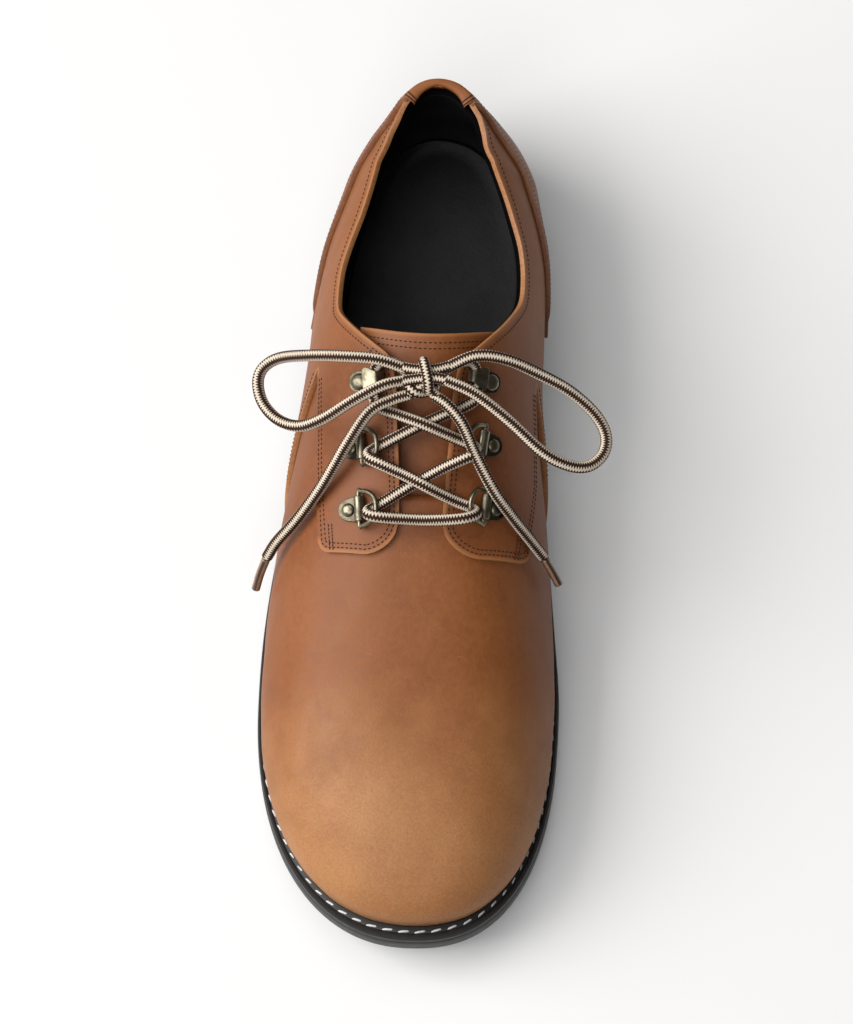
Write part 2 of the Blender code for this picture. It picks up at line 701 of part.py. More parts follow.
def heel(group):
    """Block under the seat, drawn in a little to the floor, with a curved breast."""
    top = HEEL_HEIGHT - SOLE_GAP
    breast = 8
    outline = [side_turn(MEDIAL, s) for s in HEEL_SIDES] + heel_turns()
    outline += [4.0 + side_turn(LATERAL, s) for s in reversed(HEEL_SIDES)]
    levels = ((0.0, HEEL_TAPER + HEEL_EDGE), (HEEL_EDGE, HEEL_TAPER), (top, 0.0))
    points, faces = [], []
    for z, inset in levels:
        ring = [sole_rim(turn, inset)[:2] for turn in outline]
        first, last = ring[-1], ring[0]
        for i in range(1, breast):
            share = i / breast
            x = first[0] + (last[0] - first[0]) * share
            ring.append((x, first[1] - BREAST_BOW * 4 * share * (1 - share)))
        points += [world(x, station, z) for x, station in ring]
    count = len(points) // len(levels)
    for j in range(len(levels) - 1):
        for i in range(count):
            k = (i + 1) % count
            faces.append((j * count + i, j * count + k, (j + 1) * count + k, (j + 1) * count + i))
    faces.append(tuple(reversed(range(count))))
    faces.append(tuple(range(2 * count, 3 * count)))
    return add("heel", mesh_of("heel", points, faces), "black_rubber", group)


def seat(side, station, half_gap, lift):
    """Frame on the facing: x towards the throat, z off the leather."""
    turn = side_turn(side, station)
    angle = gap_angle(turn, half_gap)
    normal = skin_normal(turn, angle)
    rise = skin_point(turn, angle + 0.01) - skin_point(turn, angle)
    x = (rise - normal * rise.dot(normal)).normalized()
    y = normal.cross(x)
    frame = Matrix((x, y, normal)).transposed().to_4x4()
    return Matrix.Translation(skin(turn, angle, lift) * MM) @ frame


def box_mesh(low, high):
    work = bmesh.new()
    bmesh.ops.create_cube(work, size=1.0)
    for vert in work.verts:
        vert.co = Vector([(a + b) / 2 + c * (b - a) for a, b, c in zip(low, high, vert.co)]) * MM
    return finished(work)


def rod_mesh(radius, length, centre, turned, sides=14):
    """Round rod, upright or, if turned, along y."""
    work = bmesh.new()
    bmesh.ops.create_cone(work, cap_ends=True, segments=sides, radius1=radius * MM,
                          radius2=radius * MM, depth=length * MM)
    if turned:
        bmesh.ops.rotate(work, verts=work.verts, matrix=Matrix.Rotation(math.pi / 2, 3, "X"))
    bmesh.ops.translate(work, verts=work.verts, vec=Vector(centre) * MM)
    return finished(work)


def dome_mesh(radii, centre, half=True, segments=12, rings=8):
    """Ellipsoid, or its upper half closed with a flat face."""
    work = bmesh.new()
    bmesh.ops.create_uvsphere(work, u_segments=segments, v_segments=rings, radius=MM)
    if half:
        everything = work.verts[:] + work.edges[:] + work.faces[:]
        bmesh.ops.bisect_plane(work, geom=everything, plane_co=(0, 0, 0), plane_no=(0, 0, 1),
                               dist=1e-6, clear_inner=True)
        bmesh.ops.holes_fill(work, edges=[e for e in work.edges if e.is_boundary])
    bmesh.ops.scale(work, verts=work.verts, vec=Vector(radii))
    bmesh.ops.translate(work, verts=work.verts, vec=Vector(centre) * MM)
    return finished(work)


def finished(work):
    mesh = bpy.data.meshes.new("piece")
    work.to_mesh(mesh)
    work.free()
    return mesh


def joined(name, meshes, cuts=()):
    """One mesh from several, joined and then cut by exact Booleans."""
    spare = collection("cutters", hidden=True)
    body = add(name, meshes[0], None, spare)
    tools = [("UNION", mesh) for mesh in meshes[1:]] + [("DIFFERENCE", mesh) for mesh in cuts]
    others = []
    for operation, mesh in tools:
        other = add("tool", mesh, None, spare)
        step = body.modifiers.new(operation.lower(), "BOOLEAN")
        step.operation = operation
        step.solver = "EXACT"
        step.object = other
        others.append(other)
    bpy.context.view_layer.update()
    made = bpy.data.meshes.new_from_object(body.evaluated_get(bpy.context.evaluated_depsgraph_get()))
    made.name = name
    for item in others + [body]:
        bpy.data.objects.remove(item, do_unlink=True)
    return made


def tube(name, points, diameter, sides, closed=False):
    """Round cord or wire along points given in millimetres."""
    curve = bpy.data.curves.new(name, "CURVE")
    curve.dimensions = "3D"
    curve.bevel_depth = diameter / 2 * MM
    curve.bevel_resolution = sides
    curve.use_fill_caps = not closed
    spline = curve.splines.new("POLY")
    spline.points.add(len(points) - 1)
    for spot, point in zip(spline.points, points):
        spot.co = (*(point * MM), 1.0)
    spline.use_cyclic_u = closed
    return curve


def tube_mesh(points, diameter, sides):
    spare = add("tube", tube("tube", points, diameter, sides), None, collection("cutters", hidden=True))
    bpy.context.view_layer.update()
    mesh = bpy.data.meshes.new_from_object(spare.evaluated_get(bpy.context.evaluated_depsgraph_get()))
    bpy.data.objects.remove(spare, do_unlink=True)
    return mesh


def eased_route(route, spacing):
    """Evenly spaced points of a smooth curve through a route's own points."""
    spots = [world(*spot) for spot in route]
    ends = [spots[0] * 2 - spots[1]] + spots + [spots[-1] * 2 - spots[-2]]
    fine = []
    for a, b, c, d in zip(ends, ends[1:], ends[2:], ends[3:]):
        for u in [i / 12 for i in range(12)]:
            fine.append(0.5 * (2 * b + (c - a) * u + (2 * a - 5 * b + 4 * c - d) * u ** 2
                               + (3 * b - a - 3 * c + d) * u ** 3))
    fine.append(spots[-1])
    run = np.cumsum([0.0] + [(q - p).length for p, q in zip(fine, fine[1:])])
    count = max(int(round(run[-1] / spacing)), 2)
    axes = [[point[k] for point in fine] for k in range(3)]
    return [Vector([np.interp(s, run, axis) for axis in axes]) for s in blend(0.0, run[-1], count + 1)]


def prism_mesh(outline, low, high):
    """Upright prism over a plan outline that runs anticlockwise."""
    work = bmesh.new()
    base = work.faces.new([work.verts.new((x * MM, y * MM, low * MM)) for x, y in reversed(outline)])
    raised = bmesh.ops.extrude_face_region(work, geom=[base], use_keep_orig=True)["geom"]
    top = [item for item in raised if isinstance(item, bmesh.types.BMVert)]
    bmesh.ops.translate(work, verts=top, vec=(0.0, 0.0, (high - low) * MM))
    bmesh.ops.recalc_face_normals(work, faces=work.faces)
    return finished(work)


def ring_clips(group):
    half, tip = CLIP_WIDTH / 2, CLIP_TIP / 2
    strip = prism_mesh(((0.0, -half), (0.0, half), (CLIP_SHOULDER * -CLIP_TAIL, half), (-CLIP_TAIL, tip),
                        (-CLIP_TAIL, -tip), (CLIP_SHOULDER * -CLIP_TAIL, -half)), 0.0, STRIP)
    fold = rod_mesh(FOLD_OUTER, CLIP_WIDTH, (0.0, 0.0, FOLD_OUTER), turned=True)
    rivet = dome_mesh((RIVET, RIVET, RIVET_RISE), (-RIVET_BACK, 0.0, STRIP / 2))
    bore = rod_mesh(FOLD_BORE, 2 * CLIP_WIDTH, (0.0, 0.0, FOLD_OUTER), turned=True)
    mesh = joined("ring_clip", [strip, fold, rivet], [bore])
    for place in RING_PLACES:
        name = "ring_clip_" + place.row + "_" + SIDE_NAMES[place.side]
        clip = add(name, mesh.copy(), "brass", group)
        clip.matrix_world = seat(place.side, place.station, place.half_gap, FITTING_LIFT)


def d_rings(group):
    """Wire rings: a straight bar in the clip's fold and a bow over the facing."""
    bow = []
    for step in blend(0.0, math.pi, 15):
        across, along = math.sin(step), math.cos(step)
        reach = RING_REACH * across ** (2 / RING_SQUARENESS) if across > 1e-9 else 0.0
        half = math.copysign(RING_HALF * abs(along) ** (2 / RING_SQUARENESS), along)
        bow.append(Vector((reach * math.cos(RING_TILT), half,
                           FOLD_OUTER + reach * math.sin(RING_TILT))))
    for place in RING_PLACES:
        name = "d_ring_" + place.row + "_" + SIDE_NAMES[place.side]
        ring = add(name, tube(name, bow, RING_WIRE, 1, closed=True), "brass", group)
        ring.matrix_world = seat(place.side, place.station, place.half_gap, FITTING_LIFT)


def lace_hooks(group):
    """Strip under a rivet, bent up on the throat side and back over the lace as a flap."""
    half, bend, wide = HOOK_WIDTH / 2, HOOK_BEND / 2, HOOK_FLAP / 2
    strip = prism_mesh(((HOOK_FRONT, -bend), (HOOK_FRONT, bend), (0.0, half), (-HOOK_TAIL, half),
                        (-HOOK_TAIL, -half), (0.0, -half)), 0.0, STRIP)
    wall = box_mesh((HOOK_FRONT - STRIP, -bend, 0.0), (HOOK_FRONT, bend, HOOK_HEIGHT))
    back, corner = HOOK_FLAP_BACK, HOOK_FLAP_BACK + HOOK_FLAP_CORNER
    end = HOOK_FLAP_END * wide
    flap = prism_mesh(((HOOK_FRONT, -bend), (HOOK_FRONT, bend), (corner, wide), (back, end),
                       (back, -end), (corner, -wide)), HOOK_HEIGHT - STRIP, HOOK_HEIGHT)
    rivet = dome_mesh((RIVET, RIVET, RIVET_RISE), (-HOOK_RIVET_BACK, 0.0, STRIP / 2))
    mesh = joined("lace_hook", [strip, wall, flap, rivet])
    for place in HOOK_PLACES:
        hook = add("lace_hook_" + SIDE_NAMES[place.side], mesh.copy(), "brass", group)
        hook.matrix_world = seat(place.side, place.station, place.half_gap, FITTING_LIFT)


def strand_points(strand):
    points = []
    for share in blend(0.0, 1.0, 8):
        across = -strand.lateral + share * (strand.lateral + strand.medial)
        station = strand.lateral_station
        station += share * (strand.medial_station - strand.lateral_station)
        lift = LACE_LIFT + strand.hump * math.exp(-(across / LACE) ** 2)
        points.append(over(across if abs(across) > 0.05 else 0.05, station, lift))
    return points


def laces(group):
    for name in sorted({strand.node for strand in STRANDS}):
        meshes = [tube_mesh(strand_points(s), LACE, 2) for s in STRANDS if s.node == name]
        add(name, joined(name, meshes), "lace", group)
    knot = add("lace_knot", dome_mesh(KNOT_SIZE, (0.0, 0.0, 0.0), half=False), "lace", group)
    knot.matrix_world = seat(MEDIAL, KNOT_STATION, 0.3, KNOT_LIFT)
    for bow in BOWS:
        points = eased_route(bow.route, LACE_SPACING)
        add(bow.node, tube(bow.node, points, bow.diameter, 2), "lace", group)


def main():
    clear_scene()
    group = collection("derby_shoe")
    outsole(group)
    heel(group)
    welt(group)
    insole(group)
    upper_shell(group)
    tongue(group)
    for side in (LATERAL, MEDIAL):
        quarter(side, group)
    heel_counter(group)
    ring_clips(group)
    d_rings(group)
    lace_hooks(group)
    laces(group)
    bpy.data.collections.remove(collection("cutters"))


main()
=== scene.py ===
"""Looks of a right plain-toe derby shoe in waxed tan leather, laced through ring eyelets and hooks.

Sizes are in millimetres and meshes in metres. +Z is up and the toe points to -Y. A station is the
distance from the back of the heel along the shoe; lateral is -X and medial is +X.
"""
import math
from collections import namedtuple

import bmesh
import bpy
import numpy as np
from mathutils import Matrix, Vector
from mathutils.kdtree import KDTree

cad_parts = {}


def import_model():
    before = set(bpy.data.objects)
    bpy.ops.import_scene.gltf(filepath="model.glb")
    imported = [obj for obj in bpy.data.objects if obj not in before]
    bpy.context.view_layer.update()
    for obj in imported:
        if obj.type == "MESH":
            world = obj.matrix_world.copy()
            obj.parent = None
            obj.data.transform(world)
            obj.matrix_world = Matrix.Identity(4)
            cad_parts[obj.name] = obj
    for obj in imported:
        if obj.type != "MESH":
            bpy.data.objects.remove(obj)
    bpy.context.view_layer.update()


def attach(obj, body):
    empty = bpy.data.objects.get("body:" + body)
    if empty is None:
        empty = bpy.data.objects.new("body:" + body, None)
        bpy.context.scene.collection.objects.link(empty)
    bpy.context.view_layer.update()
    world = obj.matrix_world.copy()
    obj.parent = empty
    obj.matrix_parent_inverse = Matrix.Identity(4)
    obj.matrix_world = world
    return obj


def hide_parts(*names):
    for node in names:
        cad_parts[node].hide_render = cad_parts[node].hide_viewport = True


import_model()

MM = 0.001
GAP = 0.4  # clearance between neighbouring layers
SOLE_GAP = 0.75 * GAP  # clearance over and under the outsole
MERGE = 0.02  # points closer than this are one
SLIVER = 0.2 * MERGE
METAL_MERGE = 0.001
STEP = 0.001  # small step along the loop or up the surface, to find a direction
NEARLY = 1e-6  # slack of comparisons
TINY = 1e-12  # keeps a division from zero
HAIR = 1e-9  # keeps a place on its own side of a corner of the loop
LATERAL, MEDIAL = -1, 1
SIDE_NAMES = {LATERAL: "lateral", MEDIAL: "medial"}
BACK_TURN = 3.5  # back seam on the loop round the shoe, which side_turn explains

# Form of the shoe, as in the solids
LENGTH = 300.0  # outsole from heel to toe
AXIS_SHIFT = 2.95  # puts the middle of the sole's width on the Y axis
HEEL_POLE = 36.0  # station where the round of the heel starts
TOE_POLE = 215.0  # station of the ball, where the round of the toe starts
TOE_TIP = 295.0  # front of the upper
HEEL_BACK = 6.4  # back of the upper, under the quarters and counter
TOE_SQUARENESS = (2.15, 2.45)  # superellipse powers, lateral and medial
HEEL_SQUARENESS = (1.95, 1.95)
HEEL_SWAY = 0.7  # the back of the heel lies this far to the medial side
TREAD_START = 188.0  # the sole lies flat on the floor between these two stations
TREAD_END = 228.0
TOE_SPRING = 9.0
SPRING_POWER = 1.8
OUTSOLE = 8.0
WELT = 3.0
INSOLE = 3.0
WALL = 2.2  # upper and lining together
BULGE = 9.0  # height of the widest line over the feather line
TUCK_TOE = 1.2  # how far the feather line lies under the widest line
TUCK_HEEL = 2.5
BACK_CROWN = 41.0  # extra virtual crown that stands the back of the heel upright

# Surface of the leather
STEEPEST = 1.45  # angle beyond which the ridge sets the surface's direction
RIDGE_HALF = 0.05  # the ridge itself is looked up this far beside it
UNEVENNESS = 0.09  # height of the slight waves of lasted leather
SHORT_WAVE = 0.6  # share of the shorter waves
DENSE = 40  # samples for each division of an outline
HEEL_COLUMNS = 80  # divisions of the heel's round

# Heel block
HEEL_HEIGHT = 20.0
HEEL_BREAST = 80.0  # station of the front of the heel block
HEEL_CORNER = 78.0  # station of the corners beside the breast
BREAST_BOW = 6.0  # hollow of the breast
HEEL_TAPER = 1.2
HEEL_FOOT = ((0.0, 0.9), (0.25, 0.35), (0.8, 0.0))  # heights and insets of the rounded lower edge
HEEL_LINES = (6.2, 10.6, 15.2)  # heights of the grooves round the block
HEEL_GROOVE = ((0.0, 0.0), (0.12, 0.28), (0.34, 0.28), (0.46, 0.0))  # rises and depths of a groove

# Sole, welt and insole
SOLE_SHARES = (0.0, 0.2, 0.4, 0.6, 0.8)  # from the middle of the sole to its edge
SOLE_SIDE = ((0.0, 1.3), (0.3, 0.5), (1.0, 0.08), (2.2, 0.0), (3.6, 0.0), (5.0, 0.0), (7.2, 0.0),
             (7.7, 0.3), (7.95, 0.9))  # heights and insets
SOLE_CREASE = 35.0  # angle of edges that stay sharp, in degrees
WELT_CREASE = 50.0
WELT_EDGE = 0.25  # the welt stops this far inside the sole's edge
WELT_LIFT = 0.15
WELT_SEAM = 0.46  # the stitched groove: share of the way out, and height
WELT_GROOVE = 2.55
WELT_PROFILE = ((0.0, 0.0), (0.97, 0.0), (1.0, 0.35), (1.0, 2.2), (0.985, 2.6), (0.95, 2.85), (0.62, 2.95),
                (0.54, 2.8), (WELT_SEAM, WELT_GROOVE), (0.38, 2.8), (0.30, 3.0), (0.12, 3.15), (0.02, 3.3),
                (0.0, 3.0), (0.0, 0.0))  # share of the way out, and height
WELT_SEAM_INSET = (0.75, 1.8)  # seam from the upper at the sides and at the toe
INSOLE_GAP = 1.5 * GAP
INSOLE_EDGE = ((0.6, 0.0), (0.15, 0.25), (0.0, 0.9))  # drops from the top and insets of its rounded edge
INSOLE_HOLLOW = ((0.25, 0.86), (0.5, 0.65), (0.55, 0.4), (0.55, 0.2), (0.55, 0.0))  # drops, shares

# Upper, panels and tongue
QUARTER = 1.5
COUNTER = 1.3
TONGUE = 1.8
SHEET_LIFT = 0.1  # sheets start this far over the layer below
LINING_DROP = 0.03  # the shell ends this far below the collar, as an angle
OVERLAY_FOOT = 2.4  # lower edge of the overlays over the welt
LEAST_STRIP = 0.05  # least height of an overlay, as an angle
SHEET_CORNER = 50.0  # angle of edges that are rounded, in degrees
PANEL_ROUNDING = 0.42  # rounded cut edges
COUNTER_ROUNDING = 0.36
EDGE_SPACING = 0.25  # of the samples along a cut edge
EDGE_SKIP = 0.7  # samples this close to an uncut stretch are left out
FACING_UNCUT = (0.05, 0.97)  # stretch of the facing's outer edge that counts as uncut
COLLAR_BACK = 73.5  # height of the collar at the back of the heel
SLOT_END = 158.0  # front end of the slot in the shell, under the facings
SLOT_OVERHANG = 4.0  # facings reach this far past the shell's own edge
SLOT_EASE = 8.0  # length over which that overhang starts
FACING_START = 110.0  # station of the notch between facing and side
FACING_TOP = 104.0  # the facings start to overhang the shell here
FACING_END = 177.0
FACING_SLANT = 2.5
FACING_CORNER = 11.0
CORNER_SHARE = 0.62  # where the rounded inner corner starts across the facing
OUTER_CORNER = 3.6  # small rounding of the facing's outer corner
OUTER_SHARE = 0.14  # where it ends across the facing
SIDE_END = 149.0  # front end of the lower part of the quarters
SIDE_CURVE = 1.1  # hollow of its sloping front edge
QUARTER_SPLIT = 0.55  # share of the quarter's height in its lower rows
BACK_SEAM = 0.0006  # gap of the quarters at the back seam, as part of the loop
FRONT_SKIVE = 1.1  # thinning of the quarter's low front end
SKIVE_RUN = 14.0
COUNTER_END = 85.5  # station of the counter's front ends
COUNTER_SKIVE = 1.1  # thinning at its top, where the fold covers it
SKIVE_START = 0.88  # share of its height where that starts
COUNTER_WRAP = 0.005  # it passes the collar's edge by this, as an angle
FOLD_TURNS = (3.354, 3.652)  # ends of the leather folded over the collar
FOLD_RISE = 0.012  # over the collar's edge, as an angle
FOLD_REACH = (0.05, 0.035)  # down the outside and the inside
FOLD_OUTSIDE = 2.65
FOLD_INSIDE = (0.6, -1.5)  # at the back seam and at the tacks
FOLD_TAPER = 1.2
FOLD_FULLNESS = 0.8  # power that squares the fold's round
FOLD_LEATHER = 0.3
TACK_TURNS = (3.362, 3.376, 3.630, 3.644)
TACK_RADIUS = 0.29
TACK_ROUND = 0.3
TACK_SPACING = 0.25
TACK_SIDES = 8
TACK_LIFT = 0.16  # tacks over the fold
TACK_RISE = 0.02  # angle over the fold for each millimetre of that
TONGUE_TOP = 105.0
TONGUE_DIP = 6.5
TONGUE_END = 172.0
TONGUE_SINK = 0.8  # the tongue lies this much lower under the vamp
TONGUE_HALF = (25.5, 15.0)  # half widths at the top and under the vamp

# Fittings
FITTING_LIFT = 2 * GAP + QUARTER
FITTING_SINK = 0.2  # clips and hooks are pressed into the leather
FITTING_ROUNDING = 0.16
METAL_CORNER = 45.0  # angle of edges that are rounded, in degrees
METAL_CREASE = 38.0  # angle of edges that stay sharp
SEAT_STEP = 0.01  # step up the facing that gives a fitting its direction
STRIP = 0.8  # brass strip of clips and hooks
PLATE_RADIUS = 3.7  # round end of the strip, under the rivet
RIVET_FOOT = 0.3  # height at which the rivet starts, inside the strip
RIVET_LIP = 0.12
RIVET_LIP_TOP = 0.15
DOME_FOOT = 0.25  # start of the dome over the strip
DOME_RISE = 1.0
RING_WIRE = 1.7
RING_HALF = 5.9
RING_REACH = 7.6
RING_SQUARENESS = 2.3
RING_TILT = math.radians(20.0)
RING_JOINT = 0.001  # gap between the ends of the wire, hidden in the fold
RING_SPACING = 0.5
RING_SIDES = 16
CLIP_WIDTH = 8.6
CLIP_FRONT = -0.2
CLIP_SHOULDER = -2.2  # end of the clip's full width
CLIP_ROUND = (105.0, 255.0)  # sweep of its round end, in degrees
CLIP_RIVET = 2.25
FOLD_OUTER = 1.8  # radius of the clip's fold
ROD_ROUNDING = 0.25
RIVET_BACK = 4.5  # rivet to fold
HOOK_FRONT = 3.9  # bend of the hook, on the throat side
HOOK_HEIGHT = 5.8
HOOK_SQUASH = 0.55  # depth of the bend against its height
HOOK_BEND = 2.1  # half width of the bend
HOOK_RIVET = 2.8
HOOK_RIVET_BACK = 6.3
HOOK_FOOT = ((-5.3, 2.9), (-2.0, 3.0), (0.0, 2.9))  # place and half width
HOOK_FLAP = ((0.9, 0.0, 2.9), (-0.3, 0.0, 3.6), (-1.3, 0.0, 4.0), (-2.0, 0.05, 3.7),
             (-2.6, 0.15, 2.6))  # place, drop and half width

# Lace: diameter, braid and tips
LACE = 4.0
LACE_SPACING = 0.6  # spacing of the points along it
LACE_SIDES = 18
CURVE_STEPS = 24  # steps of a curve between two given points
LEAST_END = 0.04  # squared share of the radius left at a rounded end
AGLET = 3.0
AGLET_ROUND = 0.7  # length of a tip's rounded end
BRAID_PAIRS = 4.0  # pairs of stripes round the lace
BRAID_TOOTH = 0.95
BRAID_SWING = 0.36
BRAID_TWIST = 0.012
KNOT_PRESS = 0.92  # the wrap is drawn tight
STRAND_PRESS = 0.96
STRAND_ROUND = 1.5  # length of a strand's rounded end, inside the knot

# Stitches
Stitch = namedtuple("Stitch", "pitch length radius slant sink")
UPPER_STITCH = Stitch(1.65, 1.25, 0.21, 0.0, 0.45)
COUNTER_STITCH = Stitch(1.65, 1.25, 0.18, 0.0, 0.72)
WELT_STITCH = Stitch(5.5, 4.7, 0.4, 0.12, 0.2)
STITCH_SIDES = 8
STITCH_STEPS = np.array([-1.0, -0.82, -0.4, 0.0, 0.4, 0.82, 1.0])
STITCH_WIDTHS = np.array([0.35, 0.8, 1.0, 1.0, 1.0, 0.8, 0.35])
STITCH_DIP = 1.3  # the ends dip by this many radii
TURN_SPAN = 0.4  # half the length over which a stitch's direction is read
COLLAR_ROW_START = 15.0  # station where the fold hands over to the collar's row
COLLAR_INSET = 2.6
FACING_INSETS = (1.7, 3.2)
ROW_CLEARANCE = 0.96  # least share of the inset from any part of the edge, which cuts loops in corners
STRIP_INSET = 2.2
BAR_SHARES = (0.17, 0.215)  # short rows across the facing's outer corner
BAR_ENDS = (0.99, 0.85)  # their ends along the facing
BAR_PITCH = 0.7 * UPPER_STITCH.pitch
COUNTER_INSETS = (2.0, 4.0)
ROW_END = 2.0  # rows stop this far from a corner
NOTCH_MARGIN = 1.0  # and this far from the notch
STRIP_MARGIN = 3.0  # and this far from the strip's front end
THROAT_RUN = 2.0  # the facing's rows start this far before it
CORNER_CROWDING = 1.2  # power that draws samples towards the throat's corner
NOTCH_SHARE = 0.03  # share of the outer edge that they leave free at the notch
TONGUE_INSETS = (3.4, 5.4)
TONGUE_ROW = 0.93  # share of the tongue's width
WELT_ROW_START = HEEL_BREAST + 4.0

# Colour zones of the leather: places along Y in metres, and distance from a cut edge in millimetres. The
# toe's lighter, yellower zone is partly burnish and partly a painted highlight.
TOE_BURNISH_AND_HIGHLIGHT = (-0.055, -0.125)
# instep zone: darker and redder, partly the leather's own tone and partly painted shade
INSTEP_TONE_AND_SHADE_FRONT = (-0.06, -0.005)
INSTEP_TONE_AND_SHADE_BACK = (0.066, 0.02)
EDGE_FADE = (0.35, 1.7)

# Camera at the photograph's angle to the shoe, in metres
CAMERA_DISTANCE = 2.0
CAMERA_ELEVATION = math.radians(71.0)
CAMERA_AZIMUTH = math.radians(3.0)
CAMERA_ROLL = math.radians(-1.0)
CAMERA_TARGET = Vector((0.004, 0.0, 0.03))
CAMERA_LENS = 204.0
CAMERA_RANGE = (0.05, 20.0)

Lamp = namedtuple("Lamp", "name place aim size power tint")
LAMPS = (
    Lamp("key", (-2.3, 0.0, 2.0), (0.0, 0.0, 0.04), (2.5, 2.4), 126.0, (1.0, 0.985, 0.965)),
    Lamp("front", (-0.4, -1.1, 1.8), (0.0, 0.0, 0.0), (1.4, 1.4), 17.0, (1.0, 1.0, 1.0)),
    Lamp("sheen", (-0.25, 0.95, 2.2), (0.0, 0.0, 0.04), (1.3, 1.3), 10.0, (1.0, 1.0, 1.0)),
)
WORLD_LIGHT = 0.08
FLOOR_SIZE = 6.0
FLOOR_SHADE = 0.72
FLOOR_GLOW = 0.09


def table(columns, *rows):
    """Columns of numbers by name."""
    return dict(zip(columns.split(), np.array(rows).T))


OUTLINES = table(
    "station sole_lateral sole_medial body_lateral body_medial tuck",
    (36.0, 31.6, 35.4, 28.0, 32.4, 3.2), (60.0, 37.4, 39.0, 34.8, 37.2, 4.2),
    (84.0, 39.4, 39.2, 38.4, 37.9, 5.0), (108.0, 41.2, 38.4, 40.8, 37.9, 5.0),
    (132.0, 45.2, 40.6, 44.8, 40.2, 5.0), (156.0, 49.8, 43.4, 49.0, 43.0, 4.4),
    (184.0, 53.6, 46.4, 52.3, 45.6, 3.6), (215.0, 54.8, 48.9, 53.4, 47.2, 3.2))
RIDGES = table(
    "station height shift roundness",
    (0.0, 76.0, 0.0, 1.0), (36.0, 76.0, 0.0, 1.0), (60.0, 76.0, 0.0, 1.0), (80.0, 80.5, 0.0, 1.0),
    (100.0, 87.0, 0.0, 1.0), (118.0, 83.0, 0.0, 1.0), (139.0, 75.8, 0.0, 0.97), (160.0, 69.0, 0.0, 0.93),
    (180.0, 63.4, -0.3, 0.88), (215.0, 56.0, -1.0, 0.8), (250.0, 51.5, -1.0, 0.78), (300.0, 44.0, -1.0, 0.78))
OPENINGS = table(
    "station lateral medial",
    (36.0, 18.4, 19.6), (54.0, 22.8, 26.6), (66.0, 26.7, 29.9), (77.0, 29.3, 30.9), (86.0, 29.7, 30.0),
    (93.0, 28.9, 27.2), (98.0, 26.0, 24.4), (103.0, 22.0, 20.8), (108.0, 17.0, 16.6), (112.5, 12.2, 12.2),
    (120.0, 10.0, 10.0), (135.0, 8.8, 8.8), (150.0, 7.8, 7.8), (180.0, 7.0, 7.0))
HEEL_LEANS = table(
    "station lateral medial",
    (6.4, 0.0, 0.0), (9.0, 0.08, 0.17), (14.0, 0.17, 0.22), (22.0, 0.08, 0.16), (30.0, 0.02, 0.06),
    (36.0, 0.0, 0.0))
COUNTER_EDGES = table(
    "station height",
    (4.0, 92.0), (8.5, 76.5), (13.0, 67.5), (20.0, 61.5), (30.0, 57.0), (45.0, 51.0), (60.0, 45.0),
    (75.0, 38.5), (88.0, 29.0))
FACING_EDGES = table("station lateral medial", (110.0, 0.87, 0.94), (145.0, 0.75, 0.90), (177.0, 0.64, 0.78))

Fitting = namedtuple("Fitting", "row side station half_gap")
RING_PLACES = (
    Fitting("lower", LATERAL, 162.0, 19.6),
    Fitting("lower", MEDIAL, 159.6, 19.8),
    Fitting("middle", LATERAL, 141.5, 19.4),
    Fitting("middle", MEDIAL, 139.0, 18.2),
)
HOOK_PLACES = (
    Fitting("top", LATERAL, 120.2, 15.8),
    Fitting("top", MEDIAL, 118.8, 15.3),
)

# Routes of the bow and its tips: x, station, height
BOW_ROUTES = {
    "lace_loop_lateral": (
        (-6.5, 121.0, 92.9), (-16.0, 118.6, 94.6), (-28.1, 117.2, 93.0), (-40.1, 115.5, 88.0),
        (-49.6, 114.9, 83.0), (-55.2, 117.2, 79.0), (-56.8, 122.0, 77.0), (-54.8, 128.8, 76.0),
        (-49.4, 134.9, 77.0), (-41.9, 138.0, 80.0), (-33.8, 136.8, 85.0), (-24.1, 132.2, 90.6),
        (-14.1, 127.8, 94.4), (-6.5, 125.6, 93.8)),
    "lace_loop_medial": (
        (6.9, 120.4, 93.4), (16.8, 116.6, 95.6), (27.0, 116.9, 94.0), (37.7, 119.6, 89.0),
        (48.5, 123.7, 84.0), (57.3, 129.7, 79.0), (61.4, 136.2, 76.0), (60.7, 142.7, 75.0),
        (55.7, 147.7, 76.0), (48.5, 148.5, 79.0), (39.8, 145.3, 83.0), (28.5, 136.7, 88.6),
        (16.8, 129.2, 93.4), (6.9, 125.2, 95.0)),
    "lace_end_lateral": (
        (-5.0, 129.2, 90.6), (-11.0, 131.0, 89.6), (-18.1, 134.3, 87.0), (-25.1, 142.3, 78.8),
        (-30.1, 149.0, 71.5), (-34.8, 154.6, 64.0), (-42.1, 161.6, 53.4), (-49.4, 167.0, 43.6),
        (-52.8, 170.6, 37.6)),
    "lace_end_medial": (
        (3.4, 129.4, 90.8), (8.0, 132.6, 89.8), (12.9, 137.8, 87.1), (17.9, 146.7, 79.8),
        (24.2, 156.2, 72.8), (30.3, 162.2, 64.9), (36.5, 166.7, 55.0), (41.6, 170.6, 47.2)),
}
AGLET_ROUTES = {
    "aglet_lateral": ((-53.0, 171.0, 37.1), (-55.2, 175.0, 31.6), (-56.8, 179.0, 26.0)),
    "aglet_medial": ((41.9, 170.9, 46.7), (44.6, 173.8, 42.4), (47.6, 177.6, 37.4)),
}

